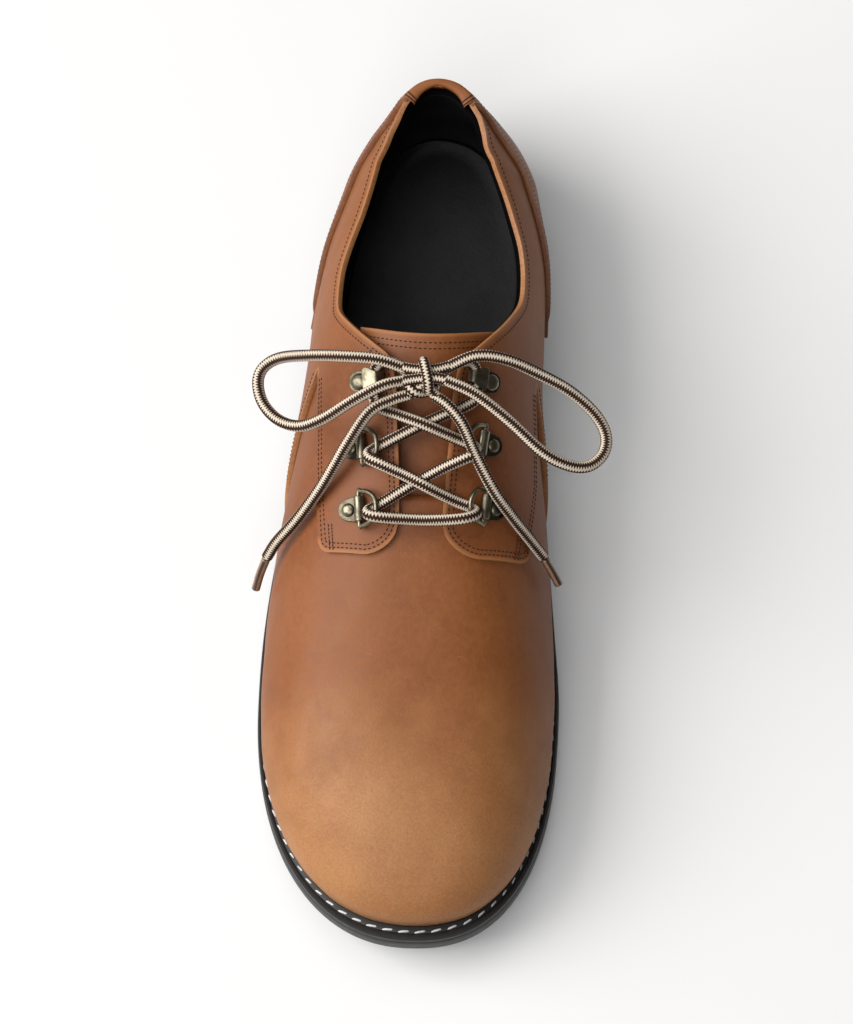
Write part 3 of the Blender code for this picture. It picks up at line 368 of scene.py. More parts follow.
# Lacing from the knot round to the knot: across, station, lift of the lace's middle
LACING = (
    (-3.0, 120.6, 9.0), (-8.0, 116.4, 7.4), (-12.6, 115.0, 5.8), (-14.9, 117.6, 5.3), (-15.2, 121.5, 5.3),
    (-15.2, 126.0, 5.2), (-13.2, 129.6, 5.4), (-7.0, 132.2, 6.4), (0.0, 135.0, 7.6), (6.0, 137.6, 5.6),
    (10.6, 139.2, 4.3), (14.2, 140.4, 4.6), (15.6, 141.8, 6.3), (14.6, 143.4, 8.4), (11.6, 145.2, 8.9),
    (6.0, 148.8, 6.6), (0.0, 152.6, 4.6), (-6.0, 156.4, 4.3), (-11.0, 159.6, 4.2), (-14.6, 161.8, 4.6),
    (-16.2, 163.2, 6.3), (-15.2, 164.6, 8.4), (-12.0, 165.4, 8.9), (-6.0, 165.8, 6.6), (0.0, 166.0, 5.6),
    (6.0, 165.8, 6.6), (11.8, 165.0, 8.9), (15.0, 163.6, 8.4), (16.2, 162.0, 6.3), (14.8, 160.6, 4.6),
    (11.2, 159.4, 4.2), (6.0, 157.4, 5.6), (0.0, 154.4, 7.9), (-6.0, 151.2, 7.4), (-12.0, 148.0, 8.9),
    (-15.2, 146.2, 8.4), (-16.4, 144.4, 6.3), (-15.0, 142.8, 4.6), (-11.4, 140.8, 4.2), (-6.0, 138.0, 4.2),
    (0.0, 134.8, 4.2), (6.0, 131.6, 4.4), (11.6, 128.4, 5.0), (14.6, 125.4, 5.2), (14.8, 120.4, 5.3),
    (14.4, 116.2, 5.3), (12.0, 113.8, 5.8), (7.6, 115.6, 7.4), (3.0, 120.0, 9.0),
)

# Knot: the wrap once round the bundle and the half knot below it, from the knot's centre
KNOT_CENTRE = np.array([0.2, 123.2, 93.2])
KNOT_WRAP = (
    (-0.9, -4.6, 0.2), (-0.6, -3.2, 2.9), (0.2, 0.0, 3.6), (0.9, 3.2, 2.6), (1.0, 5.0, -0.4),
    (0.5, 3.4, -3.2), (0.0, 0.0, -3.8), (-0.6, -3.4, -2.8),
)
KNOT_UNDER = (
    (-7.0, 1.6, -1.6), (-5.2, 4.2, -0.8), (-3.4, 5.6, -1.2), (-1.4, 5.4, -2.4), (1.4, 4.0, -3.2),
    (5.0, 2.4, -2.4),
)
# Both loops' strands through the knot, then the roots of the two ends: x, station, height
KNOT_STRANDS = (
    ((-8.6, 120.4, 93.3), (-4.4, 121.3, 93.5), (0.0, 121.6, 93.8), (4.6, 121.0, 93.8), (9.2, 119.5, 93.9)),
    ((-8.8, 126.3, 94.0), (-4.4, 125.3, 94.1), (0.2, 124.8, 94.4), (4.6, 124.8, 94.9), (9.2, 126.1, 94.6)),
    ((-7.4, 129.9, 90.2), (-5.0, 129.0, 90.8), (-2.0, 127.0, 92.0), (0.6, 124.6, 92.4)),
    ((5.6, 130.9, 90.3), (3.6, 129.3, 91.0), (1.2, 127.0, 92.2), (-0.4, 124.6, 92.6)),
)


# Form

def smooth(rows, name, station):
    """Smooth curve through one column of a table, level at its last row."""
    xs, ys = rows["station"], rows[name]
    slopes = np.gradient(ys, xs)
    slopes[-1] = 0.0
    at = np.clip(station, xs[0], xs[-1])
    i = np.clip(np.searchsorted(xs, at, side="right") - 1, 0, len(xs) - 2)
    width = xs[i + 1] - xs[i]
    u = (at - xs[i]) / width
    start = ys[i] * (1 + 2 * u) * (1 - u) ** 2 + slopes[i] * width * u * (1 - u) ** 2
    end = ys[i + 1] * u * u * (3 - 2 * u) + slopes[i + 1] * width * u * u * (u - 1)
    return start + end


def by_side(lateral, rows, station):
    """Value of a table's lateral column where lateral holds, and of its medial column elsewhere."""
    return np.where(lateral, smooth(rows, "lateral", station), smooth(rows, "medial", station))


def tread_height(station):
    drop = np.clip((station - HEEL_BREAST) / (TREAD_START - HEEL_BREAST), 0.0, 1.0)
    rise = np.maximum((station - TREAD_END) / (LENGTH - TREAD_END), 0.0)
    return HEEL_HEIGHT * (1 - drop * drop * (3 - 2 * drop)) + TOE_SPRING * rise ** SPRING_POWER


def world(x, station, z):
    return np.stack(np.broadcast_arrays(x + AXIS_SHIFT, LENGTH / 2 - station, z), axis=-1)


def unit(vectors):
    return vectors / np.maximum(np.linalg.norm(vectors, axis=-1, keepdims=True), TINY)


def circle(count):
    return np.linspace(0.0, 2 * math.pi, count, endpoint=False)


def run_of(points):
    """Length along a path at each of its points."""
    return np.concatenate([[0.0], np.cumsum(np.linalg.norm(np.diff(points, axis=0), axis=1))])


def at_run(where, run, values):
    """Vectors along a path, at the given lengths from its start."""
    return np.stack([np.interp(where, run, values[:, k]) for k in range(3)], axis=1)


def side_turn(side, station):
    """Place of a station on the loop round the shoe: lateral 0..1, toe 1..2, medial 2..3, heel 3..4."""
    share = (np.asarray(station, float) - HEEL_POLE) / (TOE_POLE - HEEL_POLE)
    return share if side == LATERAL else 3.0 - share


def side_station(turn):
    return HEEL_POLE + np.where(turn < 1.0, turn, 3.0 - turn) * (TOE_POLE - HEEL_POLE)


def fan_point(phi, name, row, length, pole, powers, forward):
    """Round of the toe or heel, a superellipse about its pole; row is the outline's row there."""
    across = np.cos(phi)
    lateral = (across > 0) == (forward > 0)
    power = np.where(lateral, powers[0], powers[1])
    half = np.where(lateral, OUTLINES[name + "_lateral"][row], OUTLINES[name + "_medial"][row])
    x = -forward * np.sign(across) * half * np.abs(across) ** (2 / power)
    return x, pole + forward * length * np.abs(np.sin(phi)) ** (2 / power)


def heel_taper(name):
    """How fast an outline draws in at the start of the heel's round."""
    return np.diff(OUTLINES[name])[0] / np.diff(OUTLINES["station"])[0]


def rim(turn, name, toe, back):
    """Points of the sole or body outline on the loop, with how far round the toe or heel they lie."""
    turn = np.asarray(turn, float) % 4.0
    lateral, medial = name + "_lateral", name + "_medial"
    station = np.clip(side_station(turn), HEEL_POLE, TOE_POLE)
    side_x = np.where(turn < 1.0, -smooth(OUTLINES, lateral, station), smooth(OUTLINES, medial, station))
    toe_phi = np.clip(turn - 1.0, 0.0, 1.0) * math.pi
    toe_x, toe_station = fan_point(toe_phi, name, -1, toe - TOE_POLE, TOE_POLE, TOE_SQUARENESS, 1)
    heel_phi = np.clip(turn - 3.0, 0.0, 1.0) * math.pi
    heel_x, heel_station = fan_point(heel_phi, name, 0, HEEL_POLE - back, HEEL_POLE, HEEL_SQUARENESS, -1)
    heel_side = np.where(turn < BACK_TURN, heel_taper(medial), -heel_taper(lateral))
    heel_x = heel_x - heel_side * (HEEL_POLE - heel_station) * (1 - np.sin(heel_phi))
    on_toe, on_heel = (turn >= 1.0) & (turn < 2.0), turn >= 3.0
    zones = [on_toe, on_heel]
    x = np.select(zones, [toe_x, heel_x + HEEL_SWAY * np.sin(heel_phi)], side_x)
    at = np.select(zones, [toe_station, heel_station], station)
    pole = np.select(zones, [np.full_like(station, TOE_POLE), np.full_like(station, HEEL_POLE)], station)
    return x, at, pole, np.where(on_toe, np.sin(toe_phi), 0.0), np.where(on_heel, np.sin(heel_phi), 0.0)


def body_outline(turn):
    return rim(turn, "body", TOE_TIP, HEEL_BACK)


def sole_outline(turn):
    return rim(turn, "sole", LENGTH, 0.0)


Meridian = namedtuple("Meridian", "x station spine pole reach roundness tuck bulge back lean")


def meridian(turn):
    """Upright lines of the upper, from the feather line to the ridge."""
    x, station, pole, toeward, heelward = body_outline(turn)
    spine = smooth(RIDGES, "shift", pole)
    tuck = smooth(OUTLINES, "tuck", pole)
    tuck = tuck + (TUCK_TOE - tuck) * toeward ** 2 + (TUCK_HEEL - tuck) * heelward ** 2
    bulge = tread_height(station) + OUTSOLE + SOLE_GAP + BULGE
    lean = by_side(np.asarray(turn) % 4.0 >= BACK_TURN, HEEL_LEANS, station)
    return Meridian(x, station, spine, pole, np.hypot(x - spine, station - pole),
                    smooth(RIDGES, "roundness", pole), tuck, bulge, heelward ** 3,
                    np.where(heelward > 0, lean, 0.0))


def floor_angle(turn):
    """Angle of the feather line."""
    line = meridian(turn)
    return -np.arccos((1 - line.tuck / line.reach) ** (1 / line.roundness))


def gap_angle(turn, half_gap):
    """Angle at which the upper comes within half_gap of its spine, in plan."""
    line = meridian(turn)
    return np.arccos(np.minimum(half_gap / line.reach, 1.0) ** (1 / line.roundness))


def height_angle(turn, z):
    """Angle at which the upper stands at height z."""
    line = meridian(turn)
    share = np.clip((z - line.bulge) / BULGE, -1.0, 0.0)
    low = np.arcsin(share * np.sin(-floor_angle(turn)))
    crown = smooth(RIDGES, "height", line.pole) + BACK_CROWN * line.back
    high = np.arcsin(np.clip((z - line.bulge) / (crown - line.bulge), 0.0, 1.0))
    return np.where(z < line.bulge, low, high)


def skin_point(turn, angle):
    line = meridian(turn)
    spread = np.maximum(np.cos(angle), 0.0) ** line.roundness
    spread = spread * (1 - line.lean * np.maximum(np.sin(angle), 0.0))
    x = line.spine + (line.x - line.spine) * spread
    station = line.pole + (line.station - line.pole) * spread
    crown = smooth(RIDGES, "height", station) + BACK_CROWN * line.back
    below = line.bulge + BULGE * np.sin(angle) / np.sin(-floor_angle(turn))
    above = line.bulge + (crown - line.bulge) * np.sin(angle)
    return world(x, station, np.where(angle < 0, below, above))


def skin_normal(turn, angle):
    flat = np.minimum(angle, math.pi / 2 - 2 * STEP)
    low = np.minimum(angle, STEEPEST)
    along = skin_point(turn + STEP, low) - skin_point(turn - STEP, low)
    rise = skin_point(turn, flat + STEP) - skin_point(turn, flat - STEP)
    return unit(np.cross(along, rise))


def unevenness(points):
    """Slight waviness of lasted leather, the same through all its layers."""
    x, y, z = np.moveaxis(points, -1, 0)
    waves = np.sin(0.19 * x + 0.11 * y + 1.0) * np.sin(0.15 * y - 0.21 * z)
    return UNEVENNESS * (waves + SHORT_WAVE * np.sin(0.37 * x - 0.29 * y + 0.31 * z + 2.0))


def skin(turn, angle, lift=0.0):
    """Points lifted off the upper along its own normal."""
    turn, angle = np.broadcast_arrays(np.asarray(turn, float), np.asarray(angle, float))
    points = skin_point(turn, angle)
    return points + skin_normal(turn, angle) * (lift + unevenness(points))[..., None]


def instep_place(across, station):
    """Turn and angle over the instep, across from the ridge: minus is lateral."""
    across, station = np.broadcast_arrays(np.asarray(across, float), np.asarray(station, float))
    turn = np.where(across < 0, side_turn(LATERAL, station), side_turn(MEDIAL, station))
    return turn, gap_angle(turn, np.maximum(np.abs(across), RIDGE_HALF))


def half_opening(turn, last=TOE_POLE):
    """Half width of the collar and throat, on the turn's own side."""
    return by_side(turn < 1.0, OPENINGS, np.minimum(side_station(turn), last))


def opening_angle(turn):
    """Angle of the collar and throat edge: by half width along the sides, by height round the heel."""
    turn = np.asarray(turn, float) % 4.0
    along = gap_angle(turn, half_opening(turn))
    corner = np.where(turn < BACK_TURN, 3.0 - HAIR, 0.0)
    low = skin_point(corner, gap_angle(corner, half_opening(corner)))[..., 2]
    height = low + (COLLAR_BACK - low) * np.sin(np.clip(turn - 3.0, 0, 1) * math.pi) ** 2
    return np.where(turn < 3.0, along, height_angle(turn, height))


def spread_turns(start, end, count):
    """Turns that divide a stretch of the body outline into equal lengths."""
    dense = np.linspace(start, end, DENSE * count)
    run = run_of(np.stack(body_outline(np.minimum(dense, end - HAIR))[:2], axis=1))
    return np.interp(np.linspace(0.0, run[-1], count + 1), run, dense)


def loop_turns(stations, toe_count, heel_count):
    """Turns once round the shoe, from the lateral side of the heel back to it."""
    return np.concatenate([side_turn(LATERAL, stations), spread_turns(1.0, 2.0, toe_count)[1:-1],
                           side_turn(MEDIAL, stations[::-1]), spread_turns(3.0, 4.0, heel_count)[1:]])


def heel_turns(front, count):
    """Turns round the heel, from a medial station to the same lateral one."""
    stations = np.linspace(HEEL_POLE, front, count)
    return np.concatenate([side_turn(MEDIAL, stations[::-1]), spread_turns(3.0, 4.0, HEEL_COLUMNS)[1:-1],
                           4.0 + side_turn(LATERAL, stations)])


def denser(turns, count):
    return np.interp(np.linspace(0, len(turns) - 1, count), np.arange(len(turns)), turns)


def blend(low, high, count):
    """Rows from low to high for each column."""
    share = np.linspace(0.0, 1.0, count)
    return np.asarray(low)[..., None] + (np.asarray(high) - np.asarray(low))[..., None] * share


# Meshes

def grid_faces(shape, closed=False, start=0):
    """Quads of a grid of columns by rows."""
    columns, rows = shape[:2]
    i = np.arange(columns if closed else columns - 1)[:, None]
    j = np.arange(rows - 1)[None, :]
    k = (i + 1) % columns
    quads = np.stack([i * rows + j, k * rows + j, k * rows + j + 1, i * rows + j + 1], axis=-1)
    return quads.reshape(-1, 4) + start


def tube_faces(count, sides):
    """Quads round a row of rings, and a cap on the first and the last."""
    i = sides * np.arange(count - 1)[:, None]
    j = np.arange(sides)[None, :]
    k = (j + 1) % sides
    quads = np.stack([i + j, i + k, i + sides + k, i + sides + j], axis=-1).reshape(-1, 4).tolist()
    return quads + [list(reversed(range(sides))), list(range((count - 1) * sides, count * sides))]


def mesh_from(name, points, faces, weld=0.0, sliver=0.0, outward=False, finish=None, sharp=None):
    """Smooth mesh in metres; welded, freed of slivers, turned outward and creased where asked."""
    mesh = bpy.data.meshes.new(name)
    mesh.from_pydata((np.asarray(points).reshape(-1, 3) * MM).tolist(), [], faces)
    if finish:
        mesh.polygons.foreach_set("material_index", finish)
    work = bmesh.new()
    work.from_mesh(mesh)
    if weld:
        bmesh.ops.remove_doubles(work, verts=work.verts, dist=weld * MM)
    if sliver:
        bmesh.ops.dissolve_degenerate(work, edges=work.edges, dist=sliver * MM)
    if outward:
        bmesh.ops.recalc_face_normals(work, faces=work.faces)
    work.to_mesh(mesh)
    work.free()
    mesh.shade_smooth()
    if sharp:
        mesh.set_sharp_from_angle(angle=math.radians(sharp))
    return mesh


def blocks_mesh(name, blocks, flip=False, sharp=None):
    """One welded mesh from several grids that share edges."""
    faces, start = [], 0
    for block in blocks:
        quads = grid_faces(block.shape, start=start)
        faces += (quads[:, ::-1] if flip else quads).tolist()
        start += block.shape[0] * block.shape[1]
    points = np.concatenate([block.reshape(-1, 3) for block in blocks])
    return mesh_from(name, points, faces, weld=MERGE, sliver=SLIVER, sharp=sharp)


def put(name, data):
    """New object in the scene."""
    made = bpy.data.objects.new(name, data)
    bpy.context.scene.collection.objects.link(made)
    return made


def piece(name, mesh, materials, stands_for=()):
    """Object of the shoe that rides with it and stands for solids of the frame."""
    for item in materials:
        mesh.materials.append(item)
    made = put(name, mesh)
    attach(made, "root")
    if stands_for:
        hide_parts(*stands_for)
    return made


def mark_edge_distance(mesh, skipped=()):
    """Stores how far each point lies from the sheet's own cut edge, in millimetres."""
    work = bmesh.new()
    work.from_mesh(mesh)
    samples = []
    for edge in work.edges:
        if edge.is_boundary:
            a, b = (np.array(v.co) / MM for v in edge.verts)
            count = max(int(np.linalg.norm(b - a) / EDGE_SPACING), 1)
            samples += [a + (b - a) * i / count for i in range(count)]
    work.free()
    if len(skipped):
        samples = [p for p in samples if np.linalg.norm(skipped - p, axis=1).min() > EDGE_SKIP]
    tree = KDTree(len(samples))
    for i, point in enumerate(samples):
        tree.insert(point, i)
    tree.balance()
    values = [tree.find(np.array(v.co) / MM)[2] for v in mesh.vertices]
    mesh.attributes.new("edge", "FLOAT", "POINT").data.foreach_set("value", values)


def round_edges(item, width, angle):
    """Rounds the edges that are sharper than the angle, in degrees."""
    bevel = item.modifiers.new("rounding", "BEVEL")
    bevel.width = width * MM
    bevel.segments = 2
    bevel.limit_method = "ANGLE"
    bevel.angle_limit = math.radians(angle)


def sheet(name, blocks, materials, thickness, outward, stands_for=(), rounding=0.0, uncut=(), flip=False):
    """Leather of one thickness; materials are the outside, the inside if there are three, and the edge."""
    mesh = blocks_mesh(name, blocks, flip)
    if rounding:
        mark_edge_distance(mesh, uncut)
    item = piece(name + "_leather", mesh, materials, stands_for)
    layer = item.modifiers.new("thickness", "SOLIDIFY")
    layer.thickness = thickness * MM
    layer.offset = 1.0 if outward else -1.0
    layer.use_even_offset = False
    layer.use_rim = True
    layer.material_offset = 1 if len(materials) == 3 else 0
    layer.material_offset_rim = len(materials) - 1
    if rounding:
        round_edges(item, rounding, SHEET_CORNER)


# Materials

class Shader:
    """Small helper that adds nodes to one material and links them."""

    def __init__(self, name):
        self.material = bpy.data.materials.new(name)
        self.material.use_nodes = True
        self.tree = self.material.node_tree
        self.surface = self.tree.nodes["Principled BSDF"]

    def node(self, kind, output=0, settings=None, **inputs):
        """One node; inputs go by name, or by number as i0, i1 and so on."""
        made = self.tree.nodes.new("ShaderNode" + kind)
        for key, value in (settings or {}).items():
            setattr(made, key, value)
        for key, value in inputs.items():
            self.feed(made.inputs[int(key[1:]) if key[0] == "i" and key[1:].isdigit() else key], value)
        return made.outputs[output]

    def feed(self, socket, value):
        if isinstance(value, bpy.types.NodeSocket):
            self.tree.links.new(value, socket)
        else:
            socket.default_value = value

    def set(self, **inputs):
        for key, value in inputs.items():
            self.feed(self.surface.inputs[key.replace("_", " ")], value)

    def place(self):
        return self.node("TexCoord", "Object")

    def noise(self, scale, detail=3.0, rough=0.5, at=None, distortion=0.0):
        return self.node("TexNoise", Vector=at or self.place(), Scale=scale, Detail=detail,
                         Roughness=rough, Distortion=distortion)

    def pores(self, scale, smoothness):
        return self.node("TexVoronoi", "Distance", {"feature": "SMOOTH_F1"}, Vector=self.place(),
                         Scale=scale, Smoothness=smoothness)

    def math(self, operation, a, b=0.0, c=0.0):
        return self.node("Math", settings={"operation": operation}, i0=a, i1=b, i2=c)

    def times(self, a, b):
        return self.math("MULTIPLY", a, b)

    def plus(self, a, b):
        return self.math("ADD", a, b)

    def span(self, value, low, high, to_low=0.0, to_high=1.0, soft=False):
        settings = {"interpolation_type": "SMOOTHSTEP"} if soft else {}
        return self.node("MapRange", settings=settings, i0=value, i1=low, i2=high, i3=to_low, i4=to_high)

    def mix(self, share, a, b):
        return self.node("Mix", 2, {"data_type": "RGBA", "blend_type": "MIX"}, i0=share, i6=a, i7=b)

    def attribute(self, name, output="Fac"):
        return self.node("Attribute", output, {"attribute_name": name})

    def braid(self):
        """Length along the lace in millimetres, and the place round it as a share of a turn."""
        parts = self.tree.nodes.new("ShaderNodeSeparateXYZ")
        self.feed(parts.inputs[0], self.attribute("braid", "Vector"))
        along, cosine, sine = parts.outputs
        return along, self.math("DIVIDE", self.math("ARCTAN2", sine, cosine), 2 * math.pi)

    def bump(self, height, depth, strength):
        return self.node("Bump", Height=height, Distance=depth * MM, Strength=strength)


def colour(red, green, blue):
    return (red, green, blue, 1.0)


def grey(shade, blue=1.0):
    return colour(shade, shade, shade * blue)


def tan_leather(name, edge_tone=None, edge_share=0.0):
    """Waxed pull-up leather: lighter and yellower at the toe (burnish and painted highlight), darker and
    redder over the instep (own tone and painted shade).
    """
    s = Shader(name)
    cloud = s.noise(26.0, detail=4.0, rough=0.55)
    fine = s.noise(420.0, detail=4.0, rough=0.6)
    speck = s.noise(1300.0, detail=3.0, rough=0.65)
    along = s.node("SeparateXYZ", "Y", Vector=s.place())
    toeward = s.plus(along, s.times(s.math("SUBTRACT", cloud, 0.5), 0.05))
    # toe mask: a lighter, yellower zone that is partly burnish and partly a painted highlight
    toe = s.span(toeward, *TOE_BURNISH_AND_HIGHLIGHT, soft=True)
    # instep mask: darkens the lacing area, partly the leather's own tone and partly painted shade
    instep = s.times(s.span(toeward, *INSTEP_TONE_AND_SHADE_FRONT, soft=True), s.span(toeward, *INSTEP_TONE_AND_SHADE_BACK, soft=True))
    smudge = s.noise(75.0, detail=5.0, rough=0.6, distortion=0.5)
    smudges = s.span(smudge, 0.46, 0.74, 0.0, 0.34, soft=True)
    dark_specks = s.span(speck, 0.48, 0.72, 0.0, 0.36)
    pale_specks = s.span(speck, 0.46, 0.28, 0.0, 0.28)
    wander = s.node("Mapping", settings={"vector_type": "POINT"}, Vector=s.place(),
                    Rotation=(0.3, 0.2, 0.6), Scale=(1.0, 5.0, 1.0))
    scuff = s.noise(120.0, detail=5.0, rough=0.62, at=wander, distortion=0.4)
    # base tone, lighter towards the toe: partly burnish, partly a painted highlight
    tone = s.mix(toe, colour(0.235, 0.077, 0.019), colour(0.40, 0.190, 0.073))
    for share, over_tone in (
            (s.times(s.span(cloud, 0.3, 0.72, soft=True), 0.42), colour(0.17, 0.046, 0.010)),
            # darker over the instep: partly the leather's own tone, partly painted shade
            (s.times(instep, 0.55), colour(0.15, 0.036, 0.008)),
            (s.times(smudges, s.span(toe, 0.0, 1.0, 1.0, 0.2)), colour(0.15, 0.040, 0.009)),
            (s.span(fine, 0.35, 0.75, 0.0, 0.22), colour(0.39, 0.145, 0.040)),
            (s.times(dark_specks, s.span(toe, 0.0, 1.0, 0.3, 1.0)), colour(0.17, 0.046, 0.012)),
            (s.times(pale_specks, toe), colour(0.52, 0.25, 0.10)),
            (s.span(scuff, 0.66, 0.78, 0.0, 0.28, soft=True), colour(0.46, 0.18, 0.055))):
        tone = s.mix(share, tone, over_tone)
    if edge_tone:
        near = s.span(s.attribute("edge"), *EDGE_FADE, 1.0, 0.0, soft=True)
        tone = s.mix(s.times(near, edge_share), tone, edge_tone)
    creping = s.noise(330.0, detail=5.0, rough=0.6, distortion=0.6)
    grain = s.plus(s.times(s.pores(1250.0, 0.6), 0.55), s.times(creping, 0.6))
    s.set(Base_Color=tone, Roughness=s.span(fine, 0.3, 0.7, 0.48, 0.60), Normal=s.bump(grain, 0.12, 0.55),
          Specular_IOR_Level=0.34)
    return s.material


def raw_edge(name, low, high):
    """Cut and burnished leather edge, with its fibres."""
    s = Shader(name)
    fibre = s.noise(900.0, detail=5.0, rough=0.7)
    blotch = s.noise(140.0)
    tone = s.mix(s.span(fibre, 0.3, 0.7), low, high)
    tone = s.mix(s.span(blotch, 0.4, 0.7, 0.0, 0.3), tone, low)
    s.set(Base_Color=tone, Roughness=0.6, Normal=s.bump(fibre, 0.12, 0.7))
    return s.material


def black_leather(name, roughness, shade, shine):
    s = Shader(name)
    haze = s.noise(40.0, detail=4.0, rough=0.6)
    fine = s.noise(500.0, detail=4.0, rough=0.6)
    tone = s.mix(s.span(haze, 0.35, 0.7), grey(0.45 * shade), grey(shade, 1.08))
    height = s.plus(s.pores(900.0, 0.5), s.times(fine, 0.5))
    s.set(Base_Color=tone, Roughness=s.plus(s.times(fine, 0.16), roughness), Normal=s.bump(height, 0.12, 0.5),
          Specular_IOR_Level=shine)
    return s.material


def black_rubber(name, shade):
    s = Shader(name)
    cloud = s.noise(55.0, detail=4.0, rough=0.6)
    fine = s.noise(1500.0, detail=3.0, rough=0.6)
    dust = s.noise(210.0, detail=6.0, rough=0.7)
    tone = s.mix(s.span(cloud, 0.3, 0.7), grey(0.75 * shade), grey(shade, 1.04))
    tone = s.mix(s.span(dust, 0.58, 0.8, 0.0, 0.35), tone, grey(2.4 * shade))
    s.set(Base_Color=tone, Roughness=s.span(dust, 0.3, 0.7, 0.45, 0.62), Normal=s.bump(fine, 0.05, 0.5),
          Specular_IOR_Level=0.45)
    return s.material


def aged_brass(name, shine):
    """Antique brass: rubbed high spots over a dark, slightly green patina."""
    s = Shader(name)
    rubbed, dark, pit = (colour(*(channel * shine for channel in tone))
                         for tone in ((0.30, 0.265, 0.185), (0.135, 0.12, 0.085), (0.05, 0.046, 0.034)))
    patina = s.noise(260.0, detail=5.0, rough=0.65)
    speck = s.noise(1300.0, detail=4.0, rough=0.6)
    tone = s.mix(s.span(patina, 0.38, 0.66, soft=True), rubbed, dark)
    tone = s.mix(s.span(speck, 0.6, 0.8, 0.0, 0.6), tone, pit)
    s.set(Base_Color=tone, Metallic=1.0, Roughness=s.span(patina, 0.35, 0.7, 0.28, 0.46),
          Normal=s.bump(speck, 0.03, 0.4))
    return s.material


def braided_lace(name):
    """Round braid of cream and dark brown stripes whose yarns make a saw-tooth edge."""
    s = Shader(name)
    along, around = s.braid()
    half_tooth = BRAID_TOOTH / 2
    tooth = s.math("PINGPONG", along, half_tooth)
    shifted = s.math("MULTIPLY_ADD", tooth, BRAID_SWING / half_tooth, s.times(around, BRAID_PAIRS))
    stripe = s.math("PINGPONG", s.math("FRACT", shifted), 0.5)
    fibre = s.noise(1800.0, detail=4.0, rough=0.6)
    worn = s.span(fibre, 0.3, 0.7)
    cream = s.mix(worn, colour(0.52, 0.43, 0.325), colour(0.75, 0.655, 0.54))
    dark = s.mix(worn, colour(0.018, 0.008, 0.005), colour(0.045, 0.020, 0.012))
    tone = s.mix(s.span(stripe, 0.27, 0.315, soft=True), dark, cream)
    yarn = s.math("PINGPONG", s.math("MULTIPLY_ADD", around, BRAID_PAIRS * BRAID_TOOTH, along), half_tooth)
    height = s.plus(s.times(yarn, 1.2 / BRAID_TOOTH), s.times(fibre, 0.5))
    s.set(Base_Color=tone, Roughness=0.82, Normal=s.bump(height, 0.22, 0.7), Specular_IOR_Level=0.15)
    return s.material


def aglet_film(name):
    """Clear brown film shrunk over the end of the braid."""
    s = Shader(name)
    _, around = s.braid()
    stripe = s.math("PINGPONG", s.math("FRACT", s.times(around, BRAID_PAIRS)), 0.5)
    fleck = s.noise(900.0, detail=4.0, rough=0.6)
    tone = s.mix(s.span(stripe, 0.2, 0.3, soft=True), colour(0.045, 0.022, 0.014), colour(0.26, 0.16, 0.09))
    tone = s.mix(s.span(fleck, 0.4, 0.7, 0.0, 0.4), tone, colour(0.10, 0.05, 0.03))
    s.set(Base_Color=tone, Roughness=0.28, Coat_Weight=0.5, Coat_Roughness=0.15)
    return s.material


def thread(name, low, high):
    s = Shader(name)
    twist = s.noise(1600.0, detail=3.0, rough=0.6)
    s.set(Base_Color=s.mix(s.span(twist, 0.3, 0.7), low, high), Roughness=0.85,
          Normal=s.bump(twist, 0.08, 0.6), Specular_IOR_Level=0.2)
    return s.material


LEATHER = tan_leather("waxed_leather")
PANEL_LEATHER = tan_leather("waxed_leather_panel", colour(0.40, 0.165, 0.055), 0.6)
COUNTER_LEATHER = tan_leather("waxed_leather_counter", colour(0.11, 0.032, 0.010), 0.55)
RAW_EDGE = raw_edge("leather_cut_edge", colour(0.25, 0.095, 0.03), colour(0.42, 0.19, 0.07))
DARK_EDGE = raw_edge("stained_cut_edge", colour(0.13, 0.045, 0.016), colour(0.24, 0.088, 0.03))
LINING = black_leather("lining_leather", 0.75, 0.013, 0.06)
# Near-black rim for the lining's top edge, darker than the lining: painted shade that keeps that edge as dark
# as the inside of the shoe.
SHADED_LINING_RIM = black_leather("lining_rim_painted_shade", 0.8, 0.003, 0.02)
SOCK = black_leather("sock_leather", 0.5, 0.011, 0.2)
RUBBER = black_rubber("sole_rubber", 0.036)
WELT_RUBBER = black_rubber("welt_strip", 0.014)
BRASS = aged_brass("antique_brass", 0.8)
DULL_BRASS = aged_brass("antique_brass_dull", 0.36)
BRAID = braided_lace("braided_lace")
AGLET_FILM = aglet_film("aglet_film")
DARK_THREAD = thread("dark_thread", colour(0.024, 0.010, 0.006), colour(0.06, 0.026, 0.015))
CREAM_THREAD = thread("cream_thread", colour(0.52, 0.52, 0.53), colour(0.82, 0.82, 0.84))


# Camera, light and floor

def make_camera():
    cos_e, sin_e = math.cos(CAMERA_ELEVATION), math.sin(CAMERA_ELEVATION)
    back = Vector((math.sin(CAMERA_AZIMUTH) * cos_e, -math.cos(CAMERA_AZIMUTH) * cos_e, sin_e))
    right = Vector((0.0, 0.0, 1.0)).cross(back).normalized()
    up = back.cross(right)
    turned = right * math.cos(CAMERA_ROLL) + up * math.sin(CAMERA_ROLL)
    upright = up * math.cos(CAMERA_ROLL) - right * math.sin(CAMERA_ROLL)
    data = bpy.data.cameras.new("camera")
    data.lens = CAMERA_LENS
    data.clip_start, data.clip_end = CAMERA_RANGE
    item = put("camera", data)
    item.matrix_world = (Matrix.Translation(CAMERA_TARGET + back * CAMERA_DISTANCE)
                         @ Matrix((turned, upright, back)).transposed().to_4x4())
    bpy.context.scene.camera = item


